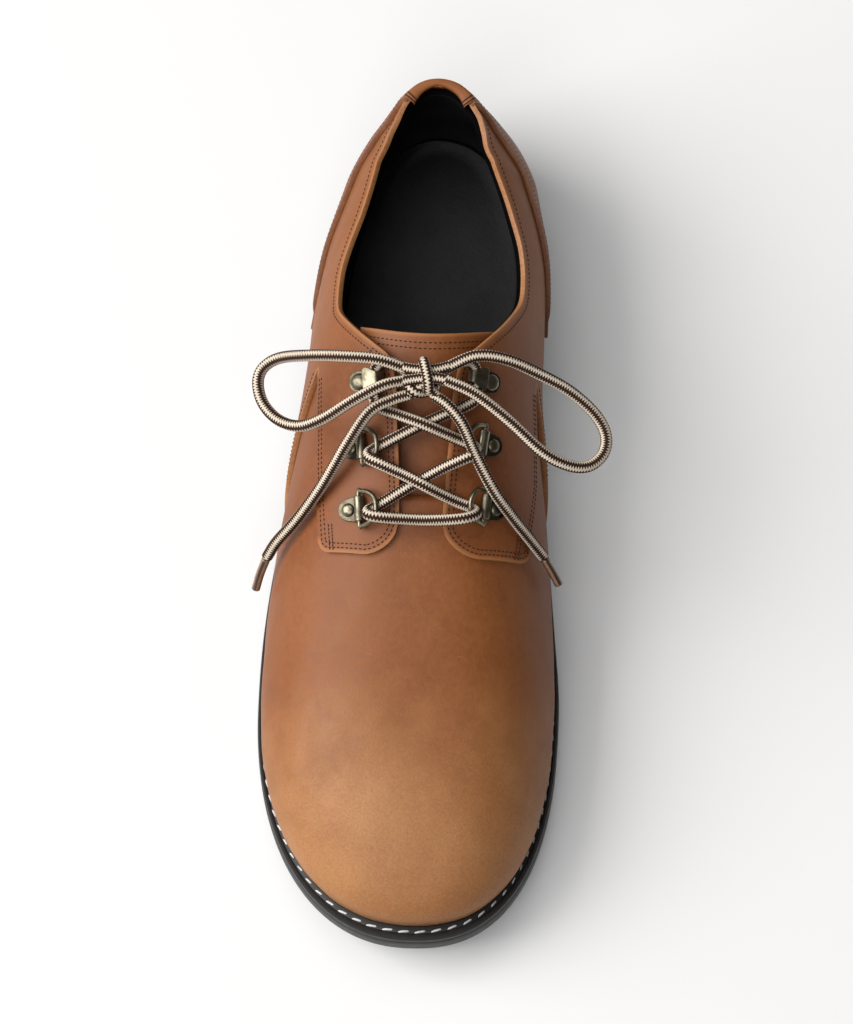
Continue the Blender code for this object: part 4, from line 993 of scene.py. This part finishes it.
def make_lights():
    scene = bpy.context.scene
    scene.view_settings.view_transform = "Standard"
    for lamp in LAMPS:
        data = bpy.data.lights.new(lamp.name, "AREA")
        data.shape = "RECTANGLE"
        data.size, data.size_y = lamp.size
        data.energy = lamp.power
        data.color = lamp.tint
        item = put(lamp.name, data)
        item.location = lamp.place
        item.rotation_euler = (Vector(lamp.aim) - Vector(lamp.place)).to_track_quat("-Z", "Y").to_euler()
    sky = bpy.data.worlds.new("studio")
    sky.use_nodes = True
    background = sky.node_tree.nodes["Background"]
    background.inputs["Color"].default_value = grey(1.0)
    background.inputs["Strength"].default_value = WORLD_LIGHT
    scene.world = sky


def make_floor():
    half = FLOOR_SIZE / 2
    mesh = bpy.data.meshes.new("floor")
    corners = [(-half, -half, 0), (half, -half, 0), (half, half, 0), (-half, half, 0)]
    mesh.from_pydata(corners, [], [(0, 1, 2, 3)])
    s = Shader("pale_floor")
    s.set(Base_Color=grey(FLOOR_SHADE), Roughness=0.9, Specular_IOR_Level=0.1,
          Emission_Color=grey(1.0), Emission_Strength=FLOOR_GLOW)
    mesh.materials.append(s.material)
    put("floor", mesh)


# Lace tubes

def eased(points, spacing, closed=False):
    """Evenly spaced points of a smooth curve through the given ones, and the curve's length."""
    points = np.asarray(points, float)
    if closed:
        spots = np.concatenate([points[-1:], points, points[:2]])
    else:
        spots = np.concatenate([2 * points[:1] - points[1:2], points, 2 * points[-1:] - points[-2:-1]])
    u = np.linspace(0.0, 1.0, CURVE_STEPS, endpoint=False)[:, None]
    fine = []
    for a, b, c, d in zip(spots, spots[1:], spots[2:], spots[3:]):
        fine.append(0.5 * (2 * b + (c - a) * u + (2 * a - 5 * b + 4 * c - d) * u ** 2
                           + (3 * b - a - 3 * c + d) * u ** 3))
    fine = np.concatenate(fine + [spots[-2:-1]])
    run = run_of(fine)
    count = max(int(round(run[-1] / spacing)), 2)
    return at_run(np.linspace(0.0, run[-1], count + 1), run, fine), run[-1]


def lace_route(places, closed=False):
    return eased(world(*np.array(places).T), LACE_SPACING, closed)


def rounded_radii(path, radius, blunt):
    """Radius along a tube that closes to a small round end within blunt millimetres."""
    run = run_of(path)
    near = np.minimum(run, run[-1] - run) / blunt
    return radius * np.sqrt(np.clip(1 - (1 - np.minimum(near, 1.0)) ** 2, LEAST_END, 1.0))


def tube_mesh(name, path, radii, sides, twist=0.0, first_side=(0.0, 0.0, 1.0)):
    """Tube along a path, with each point's place on the braid."""
    tangents = unit(np.gradient(path, axis=0))
    side = np.asarray(first_side, float)
    sides_at = []
    for tangent in tangents:
        side = side - tangent * side.dot(tangent)
        side = side / np.linalg.norm(side)
        sides_at.append(side)
    sides_at = np.array(sides_at)
    other = np.cross(tangents, sides_at)
    run = run_of(path)[:, None]
    theta = circle(sides)
    turned = theta + twist * run
    ring = np.cos(theta)[:, None] * sides_at[:, None] + np.sin(theta)[:, None] * other[:, None]
    points = path[:, None] + ring * np.broadcast_to(radii, (len(path),))[:, None, None]
    braid = np.stack([np.broadcast_to(run, turned.shape), np.cos(turned), np.sin(turned)], axis=-1)
    mesh = mesh_from(name, points, tube_faces(len(path), sides))
    values = mesh.attributes.new("braid", "FLOAT_VECTOR", "POINT")
    values.data.foreach_set("vector", braid.reshape(-1).astype(np.float32))
    return mesh


def braid_piece(name, path, radii, stands_for=(), first_side=(0.0, 0.0, 1.0)):
    mesh = tube_mesh(name, path, radii, LACE_SIDES, BRAID_TWIST, first_side)
    return piece(name + "_braid", mesh, [BRAID], stands_for)


def bow_cords():
    """Tips, loops and ends of the tied bow."""
    for node, places in AGLET_ROUTES.items():
        path, _ = lace_route(places)
        mesh = tube_mesh(node, path, rounded_radii(path, AGLET / 2, AGLET_ROUND), LACE_SIDES)
        piece(node + "_tip", mesh, [AGLET_FILM], [node])
    for node, places in BOW_ROUTES.items():
        path, length = lace_route(places)
        cord = braid_piece(node, path, LACE / 2, [node])


# Upper, lining and the panels sewn over it

def upper():
    """Vamp and lining as one shell, open at the collar and down the throat."""
    stations = np.concatenate([np.linspace(HEEL_POLE, SLOT_END, 62), np.linspace(SLOT_END, TOE_POLE, 30)[1:]])
    turns = loop_turns(stations, toe_count=96, heel_count=60)
    on_toe = (turns >= 1.0) & (turns <= 2.0)
    station = np.where(on_toe, TOE_POLE, side_station(turns))
    ease = np.clip((station - FACING_TOP) / SLOT_EASE, 0.0, 1.0)
    half_gap = half_opening(turns, SLOT_END) + SLOT_OVERHANG * ease
    top = np.where(turns >= 3.0, opening_angle(turns), gap_angle(turns, half_gap))
    top = top - LINING_DROP * (1 - ease)
    walls = skin(turns[:, None], blend(floor_angle(turns), top, count=46))
    start, end = side_turn(LATERAL, SLOT_END) - NEARLY, side_turn(MEDIAL, SLOT_END) + NEARLY
    vamp = (turns >= start) & (turns <= end)
    crown = skin(turns[vamp][:, None], blend(top[vamp], np.full(vamp.sum(), math.pi / 2), count=10))
    # the shell's rim takes the darker lining rim material, which is painted shade
    sheet("upper", [walls, crown], [LEATHER, LINING, SHADED_LINING_RIM], WALL, outward=False, stands_for=["upper"])


def tongue_place(across, along):
    """Distance from the ridge and station of a place on the tongue; across runs from -1 to 1."""
    top = TONGUE_TOP - TONGUE_DIP * across * across
    station = top + along * (TONGUE_END - top)
    half = TONGUE_HALF[0] + along * (TONGUE_HALF[1] - TONGUE_HALF[0])
    return across * half, station


def tongue_skin(across, along):
    turn, angle = instep_place(*tongue_place(across, along))
    return skin(turn, angle, -(WALL + 2 * GAP) - TONGUE_SINK * along)


def tongue():
    across, along = np.linspace(-1.0, 1.0, 48)[None], np.linspace(0.0, 1.0, 64)[:, None]
    sheet("tongue", [tongue_skin(across, along)], [PANEL_LEATHER, LINING, RAW_EDGE], TONGUE, outward=False,
          stands_for=["tongue"], rounding=PANEL_ROUNDING)


def overlay_foot(turn):
    return height_angle(turn, meridian(turn).bulge - BULGE + WELT + OVERLAY_FOOT)


def quarter_round(share):
    """Drop of a quarter circle, from 0 at its start to 1 at its end."""
    return 1 - np.sqrt(np.maximum(1 - share * share, 0.0))


def facing_end(share):
    """Station of the facing's front edge, across from its outer edge (0) to the throat (1)."""
    edge = FACING_END - FACING_SLANT * np.maximum(1 - share / CORNER_SHARE, 0.0)
    edge = edge - OUTER_CORNER * quarter_round(np.maximum(OUTER_SHARE - share, 0.0) / OUTER_SHARE)
    return edge - FACING_CORNER * quarter_round(np.maximum(share - CORNER_SHARE, 0.0) / (1 - CORNER_SHARE))


def notch_angle(side, station):
    """Angle of the facing's outer edge."""
    turn = side_turn(side, station)
    share = np.interp(station, FACING_EDGES["station"], FACING_EDGES[SIDE_NAMES[side]])
    return gap_angle(turn, share * meridian(turn).reach)


def facing_place(side, along, share):
    """Turn and angle of a place on the facing, from the notch (0) to the front (1)."""
    station = FACING_START + along * (facing_end(share) - FACING_START)
    turn = side_turn(side, station)
    outer, inner = notch_angle(side, station), opening_angle(turn)
    return turn, outer + (inner - outer) * share


def strip_top(side, station):
    """Upper edge of the strip that runs forward below the notch."""
    share = (station - FACING_START) / (SIDE_END - FACING_START)
    foot = overlay_foot(side_turn(side, station)) + LEAST_STRIP
    return notch_angle(side, FACING_START) * (1 - share) ** SIDE_CURVE + foot * share


def collar_turns(side):
    """Turns from the back seam along the collar to the notch."""
    along = side_turn(side, np.linspace(HEEL_POLE, FACING_START, 66))[1:]
    if side == LATERAL:
        back, along = spread_turns(BACK_TURN, 4.0, 34), 4.0 + along
    else:
        back = spread_turns(3.0, BACK_TURN, 34)[::-1].copy()
    back[0] -= side * BACK_SEAM
    return np.concatenate([back, along])


def quarter(side):
    """Quarter with its facing, and the strip below the notch thinned to its front end."""
    low_rows, high_rows = 16, 34
    turns = collar_turns(side)
    bottom, top = overlay_foot(turns), opening_angle(turns)
    middle = np.minimum(notch_angle(side, FACING_START), bottom + QUARTER_SPLIT * (top - bottom))
    rear_low = skin(turns[:, None], blend(bottom, middle, low_rows), SHEET_LIFT)
    rear_high = skin(turns[:, None], blend(middle, top, high_rows), SHEET_LIFT)
    stations = np.linspace(FACING_START, SIDE_END, 34)
    front = side_turn(side, stations)
    skive = FRONT_SKIVE * np.clip((stations - SIDE_END) / SKIVE_RUN + 1.0, 0.0, 1.0) ** 2
    front_low = skin(front[:, None], blend(overlay_foot(front), strip_top(side, stations), low_rows),
                     SHEET_LIFT - skive[:, None])
    along, share = np.linspace(0.0, 1.0, 66)[:, None], np.linspace(0.0, 1.0, high_rows)[None]
    front_high = skin(*facing_place(side, along, share), SHEET_LIFT)
    facing_side = skin(*facing_place(side, np.linspace(*FACING_UNCUT, 260), np.zeros(260)), SHEET_LIFT)
    uncut = np.concatenate([facing_side, rear_low[:, 0], rear_low[0], rear_high[0], front_low[:, 0]])
    name = "quarter_" + SIDE_NAMES[side]
    sheet(name, [rear_low, rear_high, front_low, front_high], [PANEL_LEATHER, RAW_EDGE],
          GAP + QUARTER - SHEET_LIFT, outward=True, stands_for=[name], rounding=PANEL_ROUNDING, uncut=uncut,
          flip=side == MEDIAL)


def counter_top(turns):
    """Upper edge of the counter, just past the collar at the back."""
    edge = height_angle(turns, smooth(COUNTER_EDGES, "height", meridian(turns).station))
    highest = opening_angle(turns) + COUNTER_WRAP
    return np.maximum(np.minimum(edge, highest), overlay_foot(turns) + LEAST_STRIP)


def heel_counter():
    """Back piece, thinned at its top where the fold covers it."""
    rows = 40
    turns = heel_turns(COUNTER_END, 44)
    top = counter_top(turns)
    at_collar = np.clip((top - opening_angle(turns)) / COUNTER_WRAP, 0.0, 1.0)
    near_top = np.clip((np.linspace(0.0, 1.0, rows) - SKIVE_START) / (1 - SKIVE_START), 0.0, 1.0)
    lift = GAP + QUARTER + SHEET_LIFT - COUNTER_SKIVE * at_collar[:, None] * near_top[None]
    grid = skin(turns[:, None], blend(overlay_foot(turns), top, rows), lift)
    sheet("heel_counter", [grid], [COUNTER_LEATHER, DARK_EDGE], GAP + COUNTER - SHEET_LIFT, outward=True,
          stands_for=["heel_counter"], rounding=COUNTER_ROUNDING)


def fold_points(turns, extra=0.0):
    """Points of the leather folded over the collar at the back, row by row from outside to inside."""
    middle = sum(FOLD_TURNS) / 2
    away = np.abs(turns - middle) / (FOLD_TURNS[1] - middle)
    inside = FOLD_INSIDE[0] + (FOLD_INSIDE[1] - FOLD_INSIDE[0]) * away ** FOLD_TAPER
    sweep = np.linspace(0.0, math.pi, 19)[:, None]
    lift = (FOLD_OUTSIDE + inside) / 2 + (FOLD_OUTSIDE - inside + 2 * extra) / 2 * np.cos(sweep)
    lift = np.concatenate([lift[:1], lift, lift[-1:]])
    collar = opening_angle(turns)
    over_edge = collar + (FOLD_RISE + TACK_RISE * extra) * np.sin(sweep) ** FOLD_FULLNESS
    angles = np.concatenate([[collar - FOLD_REACH[0]], over_edge, [collar - FOLD_REACH[1]]])
    return skin(np.broadcast_to(turns, lift.shape), angles, lift)


def collar_fold():
    sheet("collar_fold", [fold_points(np.linspace(*FOLD_TURNS, 70))], [LEATHER], FOLD_LEATHER, outward=False)


# Sole, welt, heel and insole

def sole_turns():
    return loop_turns(np.linspace(HEEL_POLE, TOE_POLE, 110), toe_count=130, heel_count=HEEL_COLUMNS)


def sole_rim(turn, inset=0.0):
    """The sole's outline, moved inward."""
    x, station, pole = sole_outline(turn)[:3]
    ahead, behind = sole_outline(turn + STEP), sole_outline(turn - STEP)
    along = unit(np.stack([ahead[0] - behind[0], ahead[1] - behind[1]], axis=-1))
    return x + inset * along[..., 1], station - inset * along[..., 0], pole


def insole_rim(turn, inset):
    """The feather line, moved inward."""
    line = meridian(turn)
    share = 1 - (line.tuck + inset) / line.reach
    x = line.spine + (line.x - line.spine) * share
    return x, line.pole + (line.station - line.pole) * share, line.pole


def level_points(turns, height, inset, share, edge):
    """Points at one height over the tread, a share of the way from the middle out to the edge."""
    x, station, pole = edge(turns, inset)
    middle = smooth(RIDGES, "shift", pole)
    at = pole + (station - pole) * share
    return world(middle + (x - middle) * share, at, tread_height(at) + height)


def outsole():
    levels = [(0.0, 0.0, share) for share in SOLE_SHARES]
    levels += [(height, inset, 1.0) for height, inset in SOLE_SIDE]
    levels += [(OUTSOLE, 0.0, share) for share in reversed(SOLE_SHARES)]
    turns = sole_turns()
    rows = [level_points(turns, *level, sole_rim) for level in levels]
    mesh = blocks_mesh("outsole", [np.stack(rows, axis=1)], sharp=SOLE_CREASE)
    piece("outsole_rubber", mesh, [RUBBER], ["outsole"])


def welt_row(turns, share, height):
    """Points across the welt from the upper (0) to the sole's edge (1), over the outsole's top."""
    foot = meridian(turns).bulge - BULGE
    near = skin(turns, height_angle(turns, foot + WELT + GAP), SHEET_LIFT)
    x, station, _ = sole_rim(turns, WELT_EDGE)
    far = world(x, station, np.zeros_like(x))
    points = near + (far - near) * np.asarray(share)[..., None]
    points[..., 2] = tread_height(LENGTH / 2 - points[..., 1]) + OUTSOLE + WELT_LIFT + height
    return points


def welt():
    turns = sole_turns()
    rows = [welt_row(turns, share, height) for share, height in WELT_PROFILE]
    mesh = blocks_mesh("welt", [np.stack(rows, axis=1)], sharp=WELT_CREASE)
    piece("welt_strip", mesh, [WELT_RUBBER], ["welt"])


def heel():
    """Heel block with a hollow breast and grooves round it."""
    top = HEEL_HEIGHT - SOLE_GAP
    levels = list(HEEL_FOOT)
    for line in HEEL_LINES:
        levels += [(line + rise, depth) for rise, depth in HEEL_GROOVE]
    levels.append((top, 0.0))
    outline = heel_turns(HEEL_CORNER, 26)
    share = np.linspace(0.0, 1.0, 40)[1:-1]
    rings = []
    for z, inset in levels:
        x, station, _ = sole_rim(outline, inset + HEEL_TAPER * (1 - z / top))
        breast_x = x[-1] + (x[0] - x[-1]) * share
        breast = station[-1] - BREAST_BOW * 4 * share * (1 - share)
        rings.append(world(np.concatenate([x, breast_x]), np.concatenate([station, breast]), z))
    mesh = mesh_from("heel", rings, tube_faces(len(rings), len(rings[0])), sharp=SOLE_CREASE)
    piece("heel_block", mesh, [RUBBER], ["heel"])


def insole():
    """Sock with a rounded edge and a slight hollow."""
    base = OUTSOLE + INSOLE_GAP
    top = base + INSOLE
    inset = WALL + INSOLE_GAP
    levels = [(base, 0.0, 0.0), (base, 0.0, 0.5), (base, inset, 1.0)]
    levels += [(top - drop, inset + edge, 1.0) for drop, edge in INSOLE_EDGE]
    levels += [(top - drop, 0.0, share) for drop, share in INSOLE_HOLLOW]
    turns = sole_turns()
    rows = [level_points(turns, *level, insole_rim) for level in levels]
    mesh = blocks_mesh("insole", [np.stack(rows, axis=1)])
    piece("insole_sock", mesh, [SOCK], ["insole"])


# Brass fittings

def seat(place, lift):
    """Frame on the facing: x towards the throat, z off the leather."""
    turn = side_turn(place.side, place.station)
    angle = gap_angle(turn, place.half_gap)
    normal = skin_normal(turn, angle)
    rise = skin_point(turn, angle + SEAT_STEP) - skin_point(turn, angle)
    x = unit(rise - normal * rise.dot(normal))
    axes = Matrix((x, np.cross(normal, x), normal)).transposed().to_4x4()
    return Matrix.Translation(Vector(skin(turn, angle, lift)) * MM) @ axes


def lathe(profile, segments):
    """Turned solid; the profile is (radius, height) from the bottom to the top of its axis."""
    theta = circle(segments)[:, None]
    radius, height = np.array(profile, float).T
    points = np.stack(np.broadcast_arrays(radius * np.cos(theta), radius * np.sin(theta), height), axis=-1)
    return points.reshape(-1, 3), grid_faces(points.shape, closed=True).tolist()


def prism(outline, low, high):
    """Upright plate over an outline that runs anticlockwise."""
    count = len(outline)
    points = np.concatenate([np.c_[outline, np.full(count, z)] for z in (low, high)])
    return points, tube_faces(2, count)


def ribbon(profile, thickness):
    """Bent strip: the profile is (x, z, half width) down its middle."""
    profile = np.asarray(profile, float)
    tangent = unit(np.gradient(profile[:, :2], axis=0))
    normal = np.stack([-tangent[:, 1], tangent[:, 0]], axis=1) * thickness / 2
    corners = []
    for sign, side in ((1, -1), (1, 1), (-1, 1), (-1, -1)):
        edge = profile[:, :2] + sign * normal
        corners.append(np.stack([edge[:, 0], side * profile[:, 2], edge[:, 1]], axis=1))
    return np.stack(corners, axis=1).reshape(-1, 3), tube_faces(len(profile), 4)


def rod(radius, length, height):
    """Round bar along y with softened ends."""
    end, soft = length / 2, ROD_ROUNDING
    profile = ((0.0, -end), (radius - soft, -end), (radius, soft - end),
               (radius, end - soft), (radius - soft, end), (0.0, end))
    points, faces = lathe(profile, 28)
    return np.stack([points[:, 0], points[:, 2], height - points[:, 1]], axis=1), faces


def rivet(x, radius):
    """Domed rivet, from inside the strip."""
    rim_radius = radius + RIVET_LIP
    foot = ((0.0, RIVET_FOOT), (rim_radius, RIVET_FOOT), (rim_radius, STRIP + RIVET_LIP_TOP))
    rise = np.linspace(0.0, math.pi / 2, 12)
    dome = np.stack([radius * np.cos(rise), STRIP + DOME_FOOT + DOME_RISE * np.sin(rise)], axis=1)
    points, faces = lathe(np.concatenate([foot, dome]), 40)
    return points + np.array([x, 0.0, 0.0]), faces


def plate_round(x, sweep):
    """Part of the round end of a plate, about its rivet."""
    return np.stack([x + PLATE_RADIUS * np.cos(sweep), PLATE_RADIUS * np.sin(sweep)], axis=1)


def fitting_mesh(name, parts):
    """One mesh of several parts, each given as points and faces, and the number of its material."""
    points, faces, finish = [], [], []
    for (some_points, some_faces), number in parts:
        faces += [[len(points) + v for v in face] for face in some_faces]
        finish += [number] * len(some_faces)
        points += some_points.tolist()
    return mesh_from(name, points, faces, weld=METAL_MERGE, outward=True, finish=finish, sharp=METAL_CREASE)


def fitting_piece(name, mesh, place, lift):
    made = mesh.copy()
    made.transform(seat(place, lift))
    return piece(name + "_brass", made, [BRASS, DULL_BRASS], [name])


def clip_mesh():
    half = CLIP_WIDTH / 2
    tail = plate_round(-RIVET_BACK, np.radians(np.linspace(*CLIP_ROUND, 22)))
    outline = np.concatenate([[(CLIP_FRONT, -half), (CLIP_FRONT, half), (CLIP_SHOULDER, half)], tail,
                              [(CLIP_SHOULDER, -half)]])
    return fitting_mesh("ring_clip", [(prism(outline, 0.0, STRIP), 1), (rivet(-RIVET_BACK, CLIP_RIVET), 0),
                                      (rod(FOLD_OUTER, CLIP_WIDTH, FOLD_OUTER), 0)])


def ring_mesh():
    """Bent wire: the bow, and the straight part in the clip's fold."""
    across = np.linspace(0.0, math.pi, 31)
    reach = RING_REACH * np.abs(np.sin(across)) ** (2 / RING_SQUARENESS)
    half = np.sign(np.cos(across)) * RING_HALF * np.abs(np.cos(across)) ** (2 / RING_SQUARENESS)
    bow = np.stack([reach * math.cos(RING_TILT), half, FOLD_OUTER + reach * math.sin(RING_TILT)], axis=1)
    middle = np.array([[0.0, 0.0, FOLD_OUTER]])
    wire, _ = eased(np.concatenate([middle, bow, middle + RING_JOINT]), RING_SPACING)
    return tube_mesh("d_ring", wire, RING_WIRE / 2, RING_SIDES)


def hook_mesh():
    """Strip bent round into a flap, on a round plate with its rivet."""
    middle, radius = STRIP / 2, (HOOK_HEIGHT - STRIP) / 2
    depth = HOOK_SQUASH * radius
    bend = np.radians(np.linspace(-90.0, 90.0, 13))
    profile = [(x, middle, half) for x, half in HOOK_FOOT]
    start = HOOK_FRONT - middle - depth
    profile += [(start + depth * math.cos(a), middle + radius * (1 + math.sin(a)), HOOK_BEND) for a in bend]
    profile += [(x, HOOK_HEIGHT - middle - drop, half) for x, drop, half in HOOK_FLAP]
    base = plate_round(-HOOK_RIVET_BACK, circle(32))
    return fitting_mesh("lace_hook", [(ribbon(profile, STRIP), 0), (prism(base, 0.0, STRIP), 1),
                                      (rivet(-HOOK_RIVET_BACK, HOOK_RIVET), 0)])


def fittings():
    """Four clips with their rings, and two hooks."""
    clip, ring, hook = clip_mesh(), ring_mesh(), hook_mesh()
    pressed = FITTING_LIFT - FITTING_SINK
    for place in RING_PLACES:
        where = place.row + "_" + SIDE_NAMES[place.side]
        round_edges(fitting_piece("ring_clip_" + where, clip, place, pressed), FITTING_ROUNDING, METAL_CORNER)
        fitting_piece("d_ring_" + where, ring, place, FITTING_LIFT)
    for place in HOOK_PLACES:
        item = fitting_piece("lace_hook_" + SIDE_NAMES[place.side], hook, place, pressed)
        round_edges(item, FITTING_ROUNDING, METAL_CORNER)


# Lacing through rings and hooks, and the knot

def lacing():
    across, station, lift = np.array(LACING).T
    path, _ = eased(skin(*instep_place(across, station), lift), LACE_SPACING)
    braid_piece("lacing", path, LACE / 2, ["lace_bar", "lace_cross_lower", "lace_cross_upper", "lace_tie"])


def knot():
    wrap, _ = lace_route(KNOT_CENTRE + KNOT_WRAP, closed=True)
    braid_piece("lace_knot", wrap, LACE / 2 * KNOT_PRESS, ["lace_knot"], first_side=(1.0, 0.0, 0.0))
    for number, places in enumerate((KNOT_CENTRE + KNOT_UNDER, *KNOT_STRANDS)):
        strand, _ = lace_route(places)
        radii = rounded_radii(strand, LACE / 2 * STRAND_PRESS, STRAND_ROUND)
        braid_piece("lace_knot_strand_%d" % number, strand, radii)


# Stitching

def inset_path(turn, angle, distance):
    """The path moved across the surface, to its left when seen from outside."""
    tangent = unit(np.gradient(skin_point(turn, angle), axis=0))
    inward = np.cross(skin_normal(turn, angle), tangent) * distance
    by_turn = (skin_point(turn + STEP, angle) - skin_point(turn - STEP, angle)) / (2 * STEP)
    by_angle = (skin_point(turn, angle + STEP) - skin_point(turn, angle - STEP)) / (2 * STEP)
    tt, ta, aa = ((p * q).sum(-1) for p, q in ((by_turn, by_turn), (by_turn, by_angle), (by_angle, by_angle)))
    t, a = (by_turn * inward).sum(-1), (by_angle * inward).sum(-1)
    det = tt * aa - ta * ta
    return turn + (aa * t - ta * a) / det, angle + (tt * a - ta * t) / det


def resampled(points, normals, pitch, trim=(0.0, 0.0)):
    """Places, directions and normals of stitches spread evenly along a path."""
    run = run_of(points)
    start, end = trim[0], run[-1] - trim[1]
    count = max(int((end - start) / pitch), 1)
    at = start + (np.arange(count) + 0.5) * (end - start) / count
    tangents = unit(at_run(at + TURN_SPAN, run, points) - at_run(at - TURN_SPAN, run, points))
    up = at_run(at, run, normals)
    up = unit(up - tangents * (up * tangents).sum(-1, keepdims=True))
    return at_run(at, run, points), tangents, up


def row_on(turn, angle, lift, pitch=UPPER_STITCH.pitch, trim=(0.0, 0.0)):
    return resampled(skin(turn, angle, lift), skin_normal(turn, angle), pitch, trim)


def stitch_mesh(name, rows, stitch):
    """Small rounded stitches at the given places, as one mesh."""
    width = (STITCH_WIDTHS * stitch.radius)[:, None]
    dip = (-STITCH_DIP * stitch.radius * np.abs(STITCH_STEPS) ** 3)[:, None]
    theta = circle(STITCH_SIDES)
    along = np.repeat(STITCH_STEPS * stitch.length / 2, STITCH_SIDES)
    across = (width * np.cos(theta)).ravel() + stitch.slant * along
    rise = (width * np.sin(theta) + dip).ravel() + stitch.radius * (1 - 2 * stitch.sink)
    centres, tangents, up = (np.concatenate(part)[:, None] for part in zip(*rows))
    side = np.cross(up, tangents)
    points = centres + tangents * along[:, None] + side * across[:, None] + up * rise[:, None]
    one = tube_faces(len(STITCH_STEPS), STITCH_SIDES)
    starts = range(0, len(points) * len(along), len(along))
    faces = [[start + v for v in face] for start in starts for face in one]
    return mesh_from(name, points, faces, outward=True)


def facing_edge(side):
    """Turns and angles from the throat round the front of the facing and back along its outer edge."""
    throat = side_turn(side, np.linspace(FACING_START - THROAT_RUN, FACING_START, 20))[:-1]
    inner, inner_angle = facing_place(side, np.linspace(0.0, 1.0, 300), np.ones(300))
    front, front_angle = facing_place(side, np.ones(240), 1.0 - np.linspace(0.0, 1.0, 240) ** CORNER_CROWDING)
    outer, outer_angle = facing_place(side, np.linspace(1.0, NOTCH_SHARE, 260), np.zeros(260))
    return (np.concatenate([throat, inner, front[1:], outer[1:]]),
            np.concatenate([opening_angle(throat), inner_angle, front_angle[1:], outer_angle[1:]]))


def quarter_rows(side):
    """Collar row, double row round the facing, row of the strip below the notch, and two short bars."""
    lift = GAP + QUARTER
    collar = denser(collar_turns(side), 600)
    at = meridian(collar).station
    collar = collar[(at > COLLAR_ROW_START) & (at < FACING_START - NOTCH_MARGIN)]
    rows = [row_on(*inset_path(collar, opening_angle(collar), side * COLLAR_INSET), lift)]
    edge, edge_angle = facing_edge(side)
    border = skin(edge, edge_angle, lift)
    for inset in FACING_INSETS:
        turn, angle = inset_path(edge, edge_angle, side * inset)
        apart = np.linalg.norm(skin(turn, angle, lift)[:, None] - border[None], axis=2).min(axis=1)
        clear = apart > ROW_CLEARANCE * inset
        rows.append(row_on(turn[clear], angle[clear], lift, trim=(0.0, ROW_END)))
    stations = np.linspace(FACING_START + NOTCH_MARGIN, SIDE_END - STRIP_MARGIN, 120)
    strip = inset_path(side_turn(side, stations), strip_top(side, stations), side * STRIP_INSET)
    rows.append(row_on(*strip, lift, trim=(NOTCH_MARGIN, NOTCH_MARGIN)))
    for share in BAR_SHARES:
        bar = facing_place(side, np.linspace(*BAR_ENDS, 40), np.full(40, share))
        rows.append(row_on(*bar, lift, BAR_PITCH))
    return rows


def counter_rows():
    """Double row along the counter's upper edge, on both sides of the collar."""
    lift = 2 * GAP + QUARTER + COUNTER
    turns = denser(heel_turns(COUNTER_END, 44), 900)
    top = counter_top(turns)
    free = top < opening_angle(turns) - NEARLY
    medial = np.arange(len(turns)) < len(turns) // 2
    rows = []
    for keep in (medial & free, ~medial & free):
        for inset in COUNTER_INSETS:
            rows.append(row_on(*inset_path(turns[keep], top[keep], -inset), lift, trim=(ROW_END, ROW_END)))
    return rows


def tongue_rows():
    """Double row along the top of the tongue."""
    across = np.linspace(-TONGUE_ROW, TONGUE_ROW, 120)
    rows = []
    for inset in TONGUE_INSETS:
        along = np.full_like(across, inset / (TONGUE_END - TONGUE_TOP))
        normals = skin_normal(*instep_place(*tongue_place(across, along)))
        rows.append(resampled(tongue_skin(across, along), normals, UPPER_STITCH.pitch))
    return rows


def welt_rows():
    """Seam of the welt, from the heel's breast round the toe."""
    turns = denser(sole_turns(), 1600)
    _, station, _, toeward, _ = sole_outline(turns)
    keep = (turns < 3.0) & (station > WELT_ROW_START)
    turns, toeward = turns[keep], toeward[keep]
    width = np.linalg.norm(welt_row(turns, 1.0, WELT_GROOVE) - welt_row(turns, 0.0, WELT_GROOVE), axis=1)
    inset = np.maximum(WELT_SEAM_INSET[0], WELT_SEAM_INSET[1] * toeward ** 2)
    points = welt_row(turns, np.minimum(inset / width, WELT_SEAM), WELT_GROOVE)
    normals = np.tile((0.0, 0.0, 1.0), (len(points), 1))
    return [resampled(points, normals, WELT_STITCH.pitch)]


def stitching():
    upper_rows = quarter_rows(LATERAL) + quarter_rows(MEDIAL) + tongue_rows()
    for name, rows, stitch, finish in (
            ("upper_stitching", upper_rows, UPPER_STITCH, DARK_THREAD),
            ("counter_stitching", counter_rows(), COUNTER_STITCH, DARK_THREAD),
            ("welt_stitching", welt_rows(), WELT_STITCH, CREAM_THREAD)):
        piece(name, stitch_mesh(name, rows, stitch), [finish])


def collar_tacks():
    """Pairs of stitches over the collar that hold down its fold."""
    for number, turn in enumerate(TACK_TURNS):
        path, _ = eased(fold_points(np.array([turn]), TACK_LIFT)[:, 0], TACK_SPACING)
        mesh = tube_mesh("collar_tack", path, rounded_radii(path, TACK_RADIUS, TACK_ROUND), TACK_SIDES)
        piece("collar_tack_%d" % number, mesh, [DARK_THREAD])


make_camera()
make_lights()
make_floor()
bow_cords()
upper()
tongue()
quarter(LATERAL)
quarter(MEDIAL)
heel_counter()
collar_fold()
outsole()
welt()
heel()
insole()
fittings()
lacing()
knot()
stitching()
collar_tacks()
